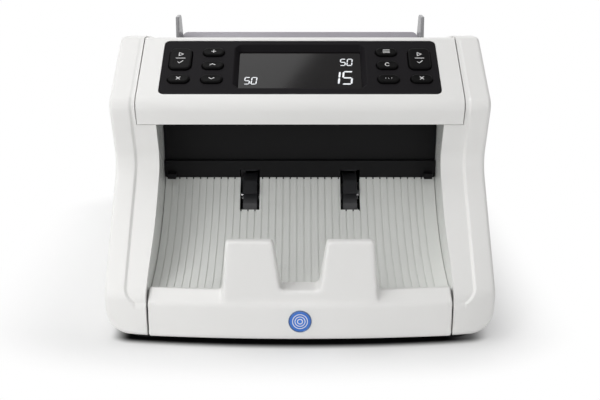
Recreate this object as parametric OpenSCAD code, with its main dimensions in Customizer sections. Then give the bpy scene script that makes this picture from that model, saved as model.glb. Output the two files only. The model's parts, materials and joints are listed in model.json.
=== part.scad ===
// Desktop banknote counter with a friction feed hopper and a front stacker pocket.
// X runs across the machine, Y runs to the back and Z runs up. Lengths are in millimetres.

/* [Housing] */
// Overall width
body_w = 250; // [246:1:258]
// Overall depth
body_d = 285; // [282:1:296]
// Width of each side arm
arm_w = 27.5; // [26.5:0.5:29]
// Height of the housing's lower edge above the table
lift = 4; // [3.5:0.5:5]
// Height of the top of the head
head_h = 178.5; // [177:0.5:182]
// Height of the rear deck
deck_h = 148; // [145:0.5:150]
// Wall of the moulded covers
wall = 3; // [2.6:0.1:3.2]
// Rounding of the arms' outer edges
edge_r = 3; // [2:0.5:4]
// Rounding of the arms' lower outer corner, seen from the front
corner_r = 15; // [11:1:18]
// Gap between two mouldings
seam = 0.4; // [0.3:0.05:0.5]
// Depth of the recessed inner band on the arms
band_step = 1.4; // [1:0.1:1.6]
// Width of the recessed inner band on each arm
band_w = 13.5; // [12:0.5:14.5]

/* [Head] */
// Reach of the top cover over each arm
cover_lap = 10.1; // [9:0.1:11]
// Wall of the top cover
cover_wall = 4.6; // [4.4:0.1:5]
// Width of the control bezel
bezel_w = 186.6; // [184:0.2:188]
// Height of the control bezel along the slope
bezel_h = 52; // [51.4:0.1:53]
// Thickness of the control bezel
bezel_t = 3; // [2.8:0.1:3.2]
// Distance from the nose to the bezel's lower edge
bezel_s = 4.2; // [4:0.1:4.6]
// Visible width of the display
lcd_w = 83; // [80:0.5:85]
// Visible height of the display
lcd_h = 36.2; // [34:0.1:36.6]
// Travel of a key
key_travel = 1.2; // [0.8:0.1:1.3]
// Clearance round a key
key_gap = 0.35; // [0.3:0.05:0.4]
// Height of a key above the bezel
key_rise = 1.6; // [1.4:0.1:2]

/* [Stacker] */
// Height of the tabs that hold the notes
tab_h = 68; // [64:1:70]
// Width of the tab block at its foot
tab_w = 101; // [95:1:105]
// Radius of the stacker wheels over their fingers
wheel_r = 36; // [34:0.5:37]
// Width of a stacker wheel
wheel_w = 10; // [8:0.5:12]
// Distance of each stacker wheel from the middle
wheel_x = 36; // [35:0.5:38]
// Number of curved fingers on a wheel
fingers = 12; // [8:1:14]
// Pitch of the grooves in the stacker floor
groove_pitch = 5; // [4:0.5:7]

/* [Hopper] */
// Tilt of the hopper plate from level
plate_tilt = 42; // [40:0.5:44]
// Length of the hopper plate along its slope
plate_len = 71; // [70:0.5:73]
// Thickness of the hopper plate
plate_t = 3; // [2.6:0.1:3.2]
// Gap between a wide open note guide and the side of the hopper
guide_gap = 3.15; // [2.9:0.05:4.8]
// Travel of each note guide towards the middle
guide_travel = 40; // [20:1:42]
// Thickness of a note guide
guide_t = 2.5; // [2:0.1:3]
// Teeth of the pinion between the racks
pinion_teeth = 16; // [14:2:18]
// Module of the rack teeth
tooth_m = 1; // [0.9:0.05:1.1]

/* [Drive] */
// Radius of the shafts
shaft_r = 4; // [3.5:0.1:4.2]
// Running clearance of a shaft in its bush
run_gap = 0.05; // [0.03:0.01:0.08]
// Radius of the feed rollers
feed_r = 18; // [17:0.1:18.3]
// Radius of the pick-up rollers
pickup_r = 11; // [10:0.5:12]
// Radius of the pinch rollers
pinch_r = 6; // [5.5:0.1:6.5]
// Radius of the retard roller
retard_r = 8; // [7:0.5:8.5]
// Gap between the feed and the facing rollers
note_gap = 0.4; // [0.3:0.1:0.6]
// Thickness of the steel side frames
frame_t = 1.5; // [1.2:0.1:1.8]
// Width of a drive belt
belt_w = 4; // [3:0.5:4.5]

/* [Base] */
// Thickness of the base plate
base_t = 2; // [1.5:0.5:2.5]
// Radius of a rubber foot
foot_r = 9; // [7:0.5:11]

/* [Hidden] */
$fn = 48;
eps = 0.01;
front_y = -body_d / 2;
half_w = body_w / 2;
arm_in = half_w - arm_w;
bay = arm_in - seam;
band_x = arm_in + band_w;
cover_w = 2 * (arm_in + cover_lap);
guide_x = bay - guide_gap - guide_t / 2;
bow_r = 1050;
arm_front = bow(arm_in);
nose = [65, 146];
nose_r = 6.6;
waist = [72.5, 100];
toe_z = 32;
head_y = 115.5;
head_back = 122.5;
head_low = 128.6;
head_zone = [[0, head_low], [head_back, head_h + 1]];
head_room = [[-1, head_low - seam], [head_back + seam, head_h + 2]];
slope = atan2(head_h - nose.y, head_y - nose.x);
lining_t = 2;
arm_hub = [150, 110];
band_round = 12.5;

// Corners of the side view: depth, height and rounding
shell = [
    [arm_front, lift, 4], [body_d, lift, 8], [body_d, deck_h, 24], [185.5, deck_h, 20],
    [131.5, head_h, 12], [head_y, head_h, 6], [nose.x, nose.y, nose_r], [waist.x, waist.y, 18],
    [arm_front, toe_z, 12]];

// Front panel
panel_front = 0;
panel_foot = 2.5;
ledge = [11.5, 34];
panel_back = 17;
crease_z = 25;
panel = [
    [panel_foot, lift, 2.5], [panel_back, lift, 0], [panel_back, ledge.y - 2, 1],
    [ledge.x, ledge.y, 1.5], [panel_front, crease_z, 4]];
badge_r = 7.35;
badge_z = 17;
badge_t = 1.2;
badge_seat = 2;
notch_top = 17;
notch_low = [12.6, 36];
tab_front = [2.6, 8];
tab_back = [21.5, 14.5];
tab_taper = 4.2;
tab_foot_z = lift + wall;

// Stacker floor: an arc that starts behind the panel and climbs to the back wall
floor_r = 130;
floor_low = [3.5, 27.5];
floor_mid = floor_low + [0, floor_r];
floor_t = 2.5;
tray_front = panel_back + bow(bay) + seam;
stack_back_y = 107.5;
back_t = 2.5;
back_low = 44;
step_up = 1.5;
step_z = floor_mid.y - sqrt(pow(floor_r, 2) - pow(stack_back_y - seam - floor_mid.x, 2)) + step_up;
step_d = 4;
step_h = 12;
prong_inset = 5.6;
prong_x = bay - prong_inset;
prong_d = 6;
prong_size = [6, 4];
wheel_room_gap = 2;
rib_x = 60;
rib_t = 3;
rib_leg = 12;
rib_gap = 60;
groove_w = 0.9;
groove_d = 0.8;

// Hopper plate surface starts here and climbs to the back
plate_foot = [141.5, 124];
plate_cut = 7;
pick_u = 20;
pick_x = 20;
pick_w = 14;
pick_proud = 1.5;
pinion_u = 48;
pitch_r = tooth_m * pinion_teeth / 2;
rack_gap = 0.5;
rack_h = 5;
rack_b = 4;
backlash = 0.15;
tongue_w = 10;
plate_up = [cos(plate_tilt), sin(plate_tilt)];
plate_out = [-sin(plate_tilt), cos(plate_tilt)];

// Shaft centres in the side view
pickup_c = plate_foot + pick_u * plate_up - (pickup_r - pick_proud) * plate_out;
feed_c = [143.5, 102.5];
pinch_c = feed_c - (feed_r + pinch_r + note_gap) * [cos(15), sin(15)];
retard_c = feed_c + (feed_r + retard_r + note_gap) * plate_out;
stack_c = [127.5, 56];
motor_c = [195.5, 46];
frame_x = bay - frame_t;
frame_y = stack_back_y + back_t + 2;
bush_r = shaft_r + 1.4;
pinch_shaft_r = 2.5;
seat_gap = 0.05;
pulley_x = arm_in + lining_t + 2;
pulley_step = belt_w + 2.2;
belt_t = 1.2;
belt_gap = 0.5;
motor_pulley_r = 8;
feed_pulley_r = 16;
stack_drive_r = 10;
stack_pulley_r = 20;
pick_drive_r = 12;
pick_pulley_r = 9;
roller_w = 18;
roller_x = [14, 64];

// Control panel places, from the bezel's middle
key_oval = [14.4, 7.4];
key_big = [15, 20.4];
key_col = [58.9, 81];
rows = [13.8, 0.8, -12.5];
big_s = 6.8;
clear_s = -12.4;
lcd_s = 0.8;
lcd_frame = 3.2;
frame_d = 4;
frame_chamfer = 3.5;
glass_d = 5.7;
rebate = [5, 4];
collar = 1.5;
window_t = 1.2;
glass_low = -glass_d - window_t;
collar_size = [lcd_w, lcd_h] + rebate + 2 * [collar, collar];
board_n = -10;
board_h = 41.5;
board_s = -3.2;
board_t = 1.6;
dome_h = 0.7;
flange = 1.2;
flange_t = 1;

// Retard bracket and its knob
bracket_y = 113.5;
bracket_t = 3;
bracket_x = 26;
pin_r = 2;
pin_x = 16;
pin_z = 135;
bar_end = head_back - wall - 0.5;
bar_size = [6, 8];
bar_front = bracket_y - 10;
knob_z = 163;
knob_r = 9;
screw_r = 2.5;

// Rear face
upstand = [195.5, 168];
vent_x = 54;
vent_pitch = 9;
vent_z = 88;
vent_size = [4, 34];
inlet = [58, 34];
inlet_size = [27, 20];
inlet_depth = 18;
rocker = [22, 34];
rocker_size = [13, 20];
rocker_tilt = 8;
screw_head_r = 3;
screw_len = 8;
shank_r = 1.5;
screw_inset = 10;
screw_rows = [lift + 8, deck_h - 30];

// Under the covers
base_inset = [11, 8];
base_corner = 16;
foot_inset = [30, 32];
main_y = 67.5;
main_size = [96, 60];
main_post = [44, 26];
post_h = 6;
chip = [16, 16, 1.8];
driver = [20, 10, 1.4];
socket = [6, 6, 5];
supply_gap = [9.1, 29.5];
supply_tray = [80, 52, 2];
core = [30, 34, 26];
can = [6, 24];
choke = [36, 14, 14];
motor_r = 24;
motor_len = 58;
motor_shaft_r = 2.5;
rotor_len = 29;

// Corner lists: each corner is [x, y, radius], counter-clockwise
function flat(c) = [c.x, c.y];
function unit(v) = v / norm(v);
function inward(a, b) = let (e = unit(b - a)) [-e.y, e.x];
function bend(a, b, c) = sign(cross(b - a, c - b));
function prev(c, i) = flat(c[(i + len(c) - 1) % len(c)]);
function next(c, i) = flat(c[(i + 1) % len(c)]);

// Corner list moved inwards by d, with its roundings to suit
function inset(c, d) = [for (i = [0:len(c) - 1])
    let (a = prev(c, i), b = flat(c[i]), e = next(c, i), m = inward(a, b), n = inward(b, e),
        p = b + d * (m + n) / (1 + m * n))
    [p.x, p.y, max(0.3, c[i][2] - bend(a, b, e) * d)]];

// Outline of a corner list with an arc at each corner
function rounded(c, steps = 5) = [for (i = [0:len(c) - 1])
    let (a = prev(c, i), b = flat(c[i]), e = next(c, i), u = unit(a - b), v = unit(e - b), r = c[i][2])
    each r == 0 ? [b] : let (half = acos(u * v) / 2, mid = b + unit(u + v) * r / sin(half),
        first = b + u * r / tan(half) - mid, from = atan2(first.y, first.x),
        turn = bend(a, b, e) * (180 - 2 * half))
    [for (k = [0:steps]) mid + r * [cos(from + turn * k / steps), sin(from + turn * k / steps)]]];

// Corner list of a rectangle about the origin
function slab(w, h, r) = [[-w/2, -h/2, r], [w/2, -h/2, r], [w/2, h/2, r], [-w/2, h/2, r]];

// Solid through a stack of rings with equal numbers of points; its ends fan out from a point inside them
module loft(rings, heights, hub = [0, 0]) {
    n = len(rings[0]);
    last = len(rings) - 1;
    low = n * (last + 1);
    polyhedron(
        [for (j = [0:last]) for (p = rings[j]) [p.x, p.y, heights[j]],
         [hub.x, hub.y, heights[0]], [hub.x, hub.y, heights[last]]],
        [for (i = [0:n - 1]) let (k = (i + 1) % n) each [[low, i, k], [low + 1, last * n + k, last * n + i]],
         for (j = [0:last - 1]) for (i = [0:n - 1]) let (a = j * n + i, b = j * n + (i + 1) % n)
             each [[a, a + n, b + n], [a, b + n, b]]]);
}

// Prism on a corner list, its top edge rounded by r
module moulded(c, h, r, steps = 4) {
    levels = [for (k = [0:steps]) 90 * k / steps];
    loft([rounded(c), for (a = levels) rounded(inset(c, r * (1 - cos(a))))],
        [0, for (a = levels) h - r + r * sin(a)]);
}

// Puts a piece in its colour, with depths counted from the front of the machine
module piece(c) { color(c) translate([0, front_y, 0]) children(); }

// Side view shapes: the drawing's x is depth, its y is height and it is extruded across the machine
module across(x0, x1) { translate([x0, 0, 0]) rotate([90, 0, 90]) linear_extrude(x1 - x0) children(); }

// Front view shapes: extruded from y0 to y1
module lengthwise(y0, y1) { translate([0, y1, 0]) rotate([90, 0, 0]) linear_extrude(y1 - y0) children(); }

// Frame of the control slope: x across, y up the slope from the bezel's middle, z outwards
module on_slope() {
    translate([0, nose.x, nose.y]) rotate([slope, 0, 0])
        translate([0, bezel_s + bezel_h / 2, 0]) children();
}

// Frame of the hopper plate: x across, y up the slope, z out of its upper face
module on_plate() { translate([0, plate_foot.x, plate_foot.y]) rotate([plate_tilt, 0, 0]) children(); }

// Cylinder across the machine about a centre given in the side view
module bar(c, r, x0, x1) { translate([x0, c.x, c.y]) rotate([0, 90, 0]) cylinder(r = r, h = x1 - x0); }

module zone2d(z) { translate(z[0]) square(z[1] - z[0]); }

// How far a rounding of radius r draws in at distance t from its face
function draw_in(t, r) = t >= r ? 0 : r - sqrt(r * r - pow(r - t, 2));

// How far the bowed front lies back at distance x from the middle
function bow(x) = bow_r - sqrt(bow_r * bow_r - x * x);

// Side view of an arm at distance x from the middle, its toe on the bow and its foot raised by up
function arm_shell(x, up = 0) = [for (i = [0:len(shell) - 1])
    let (toe = i == 0 || i == len(shell) - 1) shell[i] + [toe ? bow(x) - arm_front : 0, i < 2 ? up : 0, 0]];

// One arm, lofted from its inner plane outwards; d draws it in all round, for the hollow
function arm_ring(t, d) =
    let (edge = draw_in(t, max(edge_r - d, 0.6)), up = max(0, draw_in(t, corner_r - d) - edge))
    rounded(inset(arm_shell(half_w - t, up), d + edge));
module arm_loft(d) {
    steps = 8;
    depths = [for (k = [0:steps]) (corner_r - d) * pow(1 - k / steps, 1.6)];
    translate([arm_in, 0, 0]) rotate([90, 0, 90])
        loft([arm_ring(arm_w, d), for (t = depths) arm_ring(t, d)],
            [d > 0 ? -1 : 0, for (t = depths) arm_w - d - t], arm_hub);
}

// Skin of the recessed band that runs down the arm and bends into the front panel's crease
module band_cut() {
    band_xs = [arm_in - 2, (arm_in + band_x) / 2, band_x + 1];
    intersection() {
        lengthwise(-1, waist.x + 8) polygon(rounded([
            [arm_in - 1, crease_z + 2, 0], [band_x, crease_z + 2, band_round], [band_x, head_h, 0],
            [arm_in - 1, head_h, 0]]));
        difference() {
            translate([arm_in - 1, -1, 0]) cube([band_w + 1, waist.x + 8, nose.y - 8]);
            rotate([90, 0, 90])
                loft([for (x = band_xs) rounded(inset(arm_shell(x), band_step))], band_xs, arm_hub);
        }
    }
}

module side_cover() {
    difference() {
        arm_loft(0);
        arm_loft(wall);
        band_cut();
        across(arm_in - 1, cover_w / 2 + seam) zone2d(head_room);
    }
}

module right_side_cover() { piece("whitesmoke") side_cover(); }
module left_side_cover() { piece("whitesmoke") mirror([1, 0, 0]) side_cover(); }

// Plate that closes the open side of an arm
module lining() {
    across(arm_in, arm_in + lining_t) difference() {
        polygon(rounded(inset(shell, wall + seam)));
        zone2d(head_room);
        translate([-1, -1]) square([body_d + 2, lift + corner_r]);
        translate([-1, -1]) square([panel_back, ledge.y + 4]);
    }
}

module right_lining() { piece("gainsboro") lining(); }

module left_lining() {
    piece("gainsboro") difference() {
        mirror([1, 0, 0]) lining();
        for (c = [pickup_c, feed_c, stack_c, motor_c]) bar(c, bush_r, -half_w, 0);
    }
}

// Solid bowed in plan: a side view outline swept about a far vertical axis
module bowed(c) {
    sweep = 2 * asin((bay + 10) / bow_r);
    intersection() {
        translate([0, bow_r, 0]) rotate([0, 0, -90 - sweep / 2])
            rotate_extrude(angle = sweep, $fn = 1440) polygon([for (p = rounded(c)) [bow_r - p.x, p.y]]);
        translate([-bay, -5, 0]) cube([2 * bay, 60, head_h]);
    }
}

// Block with two tabs and the notch between them
module tab_block() {
    intersection() {
        across(-tab_w, tab_w) polygon(rounded([
            [tab_front[0], tab_foot_z, 0], [panel_back, tab_foot_z, 0], [panel_back, ledge.y - wall, 0],
            [tab_back[0], ledge.y - wall, 0], [tab_back[1], tab_h, 1.5], [tab_front[1], tab_h, 2]]));
        lengthwise(-1, 40) polygon(rounded([
            [-tab_w/2, tab_foot_z, 0], [tab_w/2, tab_foot_z, 0], [tab_w/2 - 0.5, ledge.y, 0.3],
            [tab_w/2 - tab_taper, tab_h, 2.5], [notch_top, tab_h, 2], [notch_low.x, notch_low.y, 3],
            [-notch_low.x, notch_low.y, 3], [-notch_top, tab_h, 2], [-tab_w/2 + tab_taper, tab_h, 2.5],
            [-tab_w/2 + 0.5, ledge.y, 0.3]]));
    }
}

module front_panel() {
    piece("whitesmoke") difference() {
        union() {
            bowed(panel);
            tab_block();
        }
        bowed([[panel_foot + wall, lift - 1, 0], [panel_back - wall, lift - 1, 0],
            [panel_back - wall, ledge.y - 2 - wall, 0.5], [ledge.x, ledge.y - wall, 0.5],
            [panel_front + wall, crease_z - wall / 2, 1]]);
        translate([0, badge_seat, badge_z]) rotate([90, 0, 0]) cylinder(r = badge_r + 0.1, h = 10);
    }
}

module badge() {
    piece("royalblue") translate([0, badge_seat, badge_z]) rotate([90, 0, 0]) union() {
        cylinder(r = badge_r, h = badge_t);
        rotate_extrude() translate([badge_r - 0.5, badge_t]) circle(r = 0.4, $fn = 16);
    }
}

// Top cover: the head between the arms, open below
module top_cover() {
    piece("whitesmoke") difference() {
        across(-cover_w / 2, cover_w / 2) intersection() {
            polygon(rounded(shell));
            zone2d(head_zone);
        }
        across(-cover_w / 2 + wall, cover_w / 2 - wall) intersection() {
            polygon(rounded(inset(shell, cover_wall)));
            zone2d([[0, 0], [head_back - wall, head_h]]);
        }
        on_slope() {
            translate([0, 0, -bezel_t - seat_gap]) linear_extrude(10)
                polygon(rounded(slab(bezel_w + seam, bezel_h + seam, 4)));
            translate([0, 0, -10]) linear_extrude(20) polygon(rounded(slab(bezel_w - 6, bezel_h - 6, 3)));
        }
        translate([0, head_back + 1, knob_z]) rotate([90, 0, 0])
            cylinder(r = screw_r + run_gap, h = wall + 2);
        translate([-bracket_x - 2, bar_end, head_low - 1]) cube([2 * bracket_x + 4, wall + 2, 7]);
    }
}

// Rear cover between the arms, with an upstand that carries the top of the hopper plate
rear = [[upstand.x, lift, 0], [body_d, lift, 3], [body_d, deck_h, 24], [upstand.x + 9, deck_h, 4],
    [upstand.x + wall + 0.5, upstand.y, 1], [upstand.x, upstand.y, 0.5]];
rear_hollow = [[upstand.x - 1, lift - 1, 0], [body_d - wall, lift - 1, 0], [body_d - wall, deck_h - wall, 21],
    [upstand.x - 1, deck_h - wall, 0]];
module rear_cover() {
    piece("whitesmoke") difference() {
        across(-bay, bay) difference() {
            polygon(rounded(rear));
            polygon(rounded(rear_hollow));
        }
        lengthwise(body_d - wall - 1, body_d + 1) {
            for (x = [-vent_x:vent_pitch:vent_x]) translate([x, vent_z])
                polygon(rounded(slab(vent_size.x, vent_size.y, vent_size.x / 2 - 0.1)));
            translate(inlet) polygon(rounded(slab(inlet_size.x + seam, inlet_size.y + seam, 3)));
            translate(rocker) square([rocker_size.x + 3 + seam, rocker_size.y + 3 + seam], center = true);
        }
        for (p = screw_places) translate([p.x, body_d + 1, p.y]) rotate([90, 0, 0]) {
            cylinder(r = screw_head_r + 0.4, h = 2.4);
            cylinder(r = 1.7, h = wall + 4);
        }
    }
}

screw_places = [for (x = [-1, 1]) for (z = screw_rows) [x * (bay - screw_inset), z]];
module rear_screws() {
    piece("silver") for (p = screw_places) translate([p.x, body_d - 1.4, p.y]) rotate([90, 0, 180]) {
        rotate_extrude() polygon([
            [0, 0], [screw_head_r, 0], [screw_head_r, 0.5], [screw_head_r - 0.8, 1.2], [0, 1.2]]);
        translate([0, 0, -screw_len]) cylinder(r = shank_r, h = screw_len + eps);
    }
}

// Control bezel with its key holes, display frame and posts
function key_list() = [
    [-key_col[1], big_s, key_big], [-key_col[1], clear_s, key_oval], [-key_col[0], rows[0], key_oval],
    [-key_col[0], rows[1], key_oval], [-key_col[0], rows[2], key_oval], [key_col[0], rows[0], key_oval],
    [key_col[0], rows[1], key_oval], [key_col[0], rows[2], key_oval], [key_col[1], big_s, key_big],
    [key_col[1], clear_s, key_oval]];

function key_round(size) = min(size.x, size.y) == size.y ? size.y / 2 - 0.05 : 4;
post_x = (key_col[0] + key_col[1]) / 2;
post_s = [15, -18];

// Chamfered funnel from the bezel's face down towards the glass
module frame_funnel() {
    mouth = rounded(slab(lcd_w + 2 * lcd_frame, lcd_h + 2 * lcd_frame, frame_chamfer), 1);
    loft([rounded(slab(lcd_w, lcd_h, 1), 1), mouth, mouth], [-frame_d, 0, 1]);
}

module control_bezel() {
    piece("dimgray") on_slope() {
        difference() {
            union() {
                translate([0, 0, -bezel_t]) linear_extrude(bezel_t)
                    polygon(rounded(slab(bezel_w, bezel_h, 3.8)));
                translate([0, lcd_s, glass_low]) linear_extrude(eps - bezel_t - glass_low)
                    polygon(rounded(slab(collar_size.x, collar_size.y, collar)));
            }
            for (k = key_list()) translate([k.x, k.y, -bezel_t - 1]) linear_extrude(bezel_t + 2)
                polygon(rounded(slab(k[2].x + 2 * key_gap, k[2].y + 2 * key_gap, key_round(k[2]) + key_gap)));
            translate([0, lcd_s, glass_low - 1]) {
                linear_extrude(2 - glass_low) polygon(rounded(slab(lcd_w, lcd_h, 1)));
                linear_extrude(window_t + 1) polygon(rounded(slab(lcd_w + rebate.x, lcd_h + rebate.y, 1)));
            }
            translate([0, lcd_s, 0]) frame_funnel();
        }
        for (x = [-post_x, post_x]) for (s = post_s) translate([x, s, board_n])
            cylinder(r = 2, h = -bezel_t - board_n);
    }
}

module lcd_window() {
    size = [lcd_w, lcd_h] + rebate - 2 * [seam, seam];
    piece("#231e20") on_slope() translate([0, lcd_s, glass_low])
        linear_extrude(window_t) polygon(rounded(slab(size.x, size.y, 0.8)));
}

module lcd_module() {
    piece("#303438") on_slope() translate([0, lcd_s, board_n + seat_gap])
        linear_extrude(glass_low - board_n - 2 * seat_gap) polygon(rounded(slab(lcd_w + 2, lcd_h + 2, 1)));
}

module control_board() {
    piece("darkgreen") on_slope() {
        translate([0, board_s, board_n - board_t]) linear_extrude(board_t)
            polygon(rounded(slab(bezel_w - 10, board_h, 2)));
        for (k = key_list()) translate([k.x, k.y, board_n]) cylinder(r1 = 2.6, r2 = 2, h = dome_h);
    }
}

// A key: rounded cap, flange under the bezel and stem down to its dome
module key(i) {
    k = key_list()[i];
    stem_low = board_n + dome_h + key_travel + 0.1;
    piece("#1c1b1d") on_slope() translate([k.x, k.y, 0]) {
        translate([0, 0, -bezel_t - key_gap - eps])
            moulded(slab(k[2].x, k[2].y, key_round(k[2])), bezel_t + key_gap + key_rise + eps, 0.9, 3);
        translate([0, 0, -bezel_t - key_gap - flange_t]) linear_extrude(flange_t)
            polygon(rounded(slab(k[2].x + 2 * flange, k[2].y + 2 * flange, key_round(k[2]) + flange)));
        translate([0, 0, stem_low]) cylinder(r = 2.2, h = -bezel_t - key_gap - flange_t + eps - stem_low);
    }
}

module key_start_left() { key(0); }
module key_clear_left() { key(1); }
module key_add() { key(2); }
module key_up() { key(3); }
module key_down() { key(4); }
module key_batch() { key(5); }
module key_mode() { key(6); }
module key_menu() { key(7); }
module key_start_right() { key(8); }
module key_clear_right() { key(9); }

// Base plate under the covers
foot_places = [for (x = [-1, 1]) for (y = [foot_inset.y, body_d - foot_inset.y])
    [x * (half_w - foot_inset.x), y]];
module base_plate() {
    piece("#2a2a2c") difference() {
        translate([0, body_d / 2, lift - base_t]) linear_extrude(base_t)
            polygon(rounded(slab(body_w - 2 * base_inset.x, body_d - 2 * base_inset.y, base_corner)));
        for (p = foot_places) translate([p.x, p.y, 0]) cylinder(r = foot_r + seat_gap, h = lift - base_t + 1);
    }
}

module feet() {
    piece("#19191a") for (p = foot_places) translate([p.x, p.y, 0]) rotate_extrude() polygon([
        [0, 0], [foot_r - 1.5, 0], [foot_r, 1.5], [foot_r, lift - base_t + 1], [0, lift - base_t + 1]]);
}

// Room that the stacker wheels turn in
module wheel_room() {
    half = wheel_w / 2 + wheel_room_gap;
    for (s = [-1, 1]) bar(stack_c, wheel_r + wheel_room_gap, s * wheel_x - half, s * wheel_x + half);
}

// Grooved stacker floor with a rim down its front
module floor_arc(r0, r1) {
    intersection() {
        translate(floor_mid) difference() { circle(r = r1, $fn = 360); circle(r = r0, $fn = 360); }
        translate([tray_front, 0]) square([stack_back_y - tray_front - seam, head_low]);
    }
}

module stacker_tray() {
    piece("silver") difference() {
        union() {
            across(-bay, bay) floor_arc(floor_r, floor_r + floor_t);
            for (x = [-rib_x, rib_x]) across(x - rib_t / 2, x + rib_t / 2) difference() {
                translate([tray_front, lift]) square([stack_back_y - tray_front - seam, step_z - lift]);
                translate(floor_mid) circle(r = floor_r + 1, $fn = 360);
                translate([tray_front + rib_leg, lift - 1]) square([rib_gap, rib_leg]);
            }
        }
        for (x = [-bay + groove_pitch:groove_pitch:bay - groove_pitch])
            across(x - groove_w / 2, x + groove_w / 2) floor_arc(floor_r - 1, floor_r + groove_d);
        wheel_room();
    }
}

// Black back wall with wheel slots, a lower step and two small prongs
module stacker_back() {
    piece("#161617") difference() {
        union() {
            across(-bay, bay) {
                translate([stack_back_y, back_low]) square([back_t, head_low - back_low - seam]);
                translate([stack_back_y - step_d, step_z]) square([step_d + eps, step_h]);
            }
            for (x = [-prong_x, prong_x]) across(x - prong_size.x / 2, x + prong_size.x / 2)
                translate([stack_back_y - step_d - prong_d, step_z]) square([prong_d + eps, prong_size.y]);
        }
        wheel_room();
    }
}

// A stacker wheel: hub and fingers that curve back as they reach out
finger_root = 10;
finger_curl = 70;
hub_r = 12.5;
function finger_at(t) =
    let (r = finger_root + (wheel_r - finger_root) * t, a = finger_curl * t * t) r * [cos(a), sin(a)];
function finger_side(t, w) =
    let (d = unit(finger_at(t + eps) - finger_at(t - eps))) finger_at(t) + w * [-d.y, d.x];
module stacker_wheel(s) {
    steps = 7;
    lip = 0.97;
    piece("#3a3c3f") translate([s * wheel_x - wheel_w / 2, stack_c.x, stack_c.y]) rotate([90, 0, 90])
        difference() {
            union() {
                cylinder(r = hub_r, h = wheel_w);
                for (i = [0:fingers - 1]) rotate(i * 360 / fingers) linear_extrude(wheel_w) polygon(concat(
                    [for (k = [0:steps]) finger_side(lip * k / steps, 1.1 - 0.5 * k / steps)],
                    [for (k = [steps:-1:0]) finger_side(lip * k / steps, -1.1 + 0.5 * k / steps)]));
            }
            translate([0, 0, -1]) cylinder(r = shaft_r + seat_gap, h = wheel_w + 2);
        }
}

module stacker_wheel_left() { stacker_wheel(-1); }
module stacker_wheel_right() { stacker_wheel(1); }

// Steel side frames
module frame_plate() {
    under = -(plate_t + seat_gap) * plate_out;
    high = plate_foot + (plate_len - 12) * plate_up + under;
    low = plate_foot + under;
    across(frame_x, bay) difference() {
        polygon(rounded([
            [frame_y, lift, 0], [upstand.x - 3, lift, 3], [upstand.x - 3, 100, 6], [high.x, high.y, 1],
            [low.x, low.y, 0.5], [bar_end, low.y - 8, 3], [bar_end, pin_z + 6, 2],
            [bracket_y - 12, pin_z + 6, 2], [bracket_y - 12, head_low + 1, 1], [frame_y, head_low + 1, 1]]));
        for (c = [pickup_c, feed_c, stack_c]) translate(c) circle(r = bush_r + seat_gap);
        translate(pinch_c) circle(r = pinch_shaft_r + 1.5 + seat_gap);
    }
}

module right_frame() { piece("lightsteelblue") frame_plate(); }

module left_frame() {
    piece("lightsteelblue") difference() {
        mirror([1, 0, 0]) frame_plate();
        bar(motor_c, 7 + seat_gap, -half_w, 0);
    }
}

// Bar between the frames with two pins for the retard bracket
module cross_bar() {
    piece("silver") {
        translate([-frame_x, bar_front, pin_z - bar_size.y / 2]) cube([2 * frame_x, bar_size.x, bar_size.y]);
        for (x = [-pin_x, pin_x]) translate([x, bar_end, pin_z]) rotate([90, 0, 0])
            cylinder(r = pin_r, h = bar_end - bar_front - bar_size.x + 1);
    }
}

// Flanged bushes in both frames
module bush(c, r, wall_r) {
    for (s = [0, 1]) mirror([s, 0, 0]) difference() {
        union() {
            bar(c, wall_r, frame_x - 1.5, bay);
            bar(c, wall_r + 0.8, frame_x - 1.5, frame_x);
        }
        bar(c, r + run_gap, frame_x - 3, bay + 1);
    }
}

module bushes() {
    piece("goldenrod") {
        for (c = [pickup_c, feed_c, stack_c]) bush(c, shaft_r, bush_r);
        bush(pinch_c, pinch_shaft_r, pinch_shaft_r + 1.5);
    }
}

// Shafts run from the right bush to a given pulley plane in the left arm
function plane_x(i) = -pulley_x - i * pulley_step;
module shaft(c, i) { bar(c, shaft_r, plane_x(i) - belt_w - 1, bay); }
module pickup_shaft() { piece("silver") shaft(pickup_c, 2); }
module feed_shaft() { piece("silver") shaft(feed_c, 2); }
module stacker_shaft() { piece("silver") shaft(stack_c, 1); }
module pinch_shaft() { piece("silver") bar(pinch_c, pinch_shaft_r, -bay, bay); }

// Sleeve of radius r on a shaft, with slightly rounded ends
module roller(c, r, bore, x0, x1) {
    translate([x0, c.x, c.y]) rotate([0, 90, 0]) rotate_extrude() polygon([
        [bore, 0], [r - 0.8, 0], [r, 0.8], [r, x1 - x0 - 0.8], [r - 0.8, x1 - x0], [bore, x1 - x0]]);
}

module roller_set(c, r, bore, places, w) {
    for (x = places) for (s = [-1, 1]) roller(c, r, bore, s * x - w / 2, s * x + w / 2);
}

module pickup_rollers() {
    piece("#6b4a3c") roller_set(pickup_c, pickup_r, shaft_r + seat_gap, [pick_x], pick_w);
}
module feed_rollers() { piece("#4a4a4c") roller_set(feed_c, feed_r, shaft_r + seat_gap, roller_x, roller_w); }
module pinch_rollers() {
    piece("#d8d4c8") roller_set(pinch_c, pinch_r, pinch_shaft_r + seat_gap, roller_x, roller_w - 6);
}

// Flanged belt pulley in plane i
module pulley(c, r, i, bore) {
    x = plane_x(i) - belt_w / 2;
    w = belt_w + 0.8;
    translate([x - w / 2 - 0.6, c.x, c.y]) rotate([0, 90, 0]) rotate_extrude() polygon([
        [bore, 0], [r + 1, 0], [r + 1, 0.6], [r, 0.6], [r, w + 0.6], [r + 1, w + 0.6], [r + 1, w + 1.2],
        [bore, w + 1.2]]);
}

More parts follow.
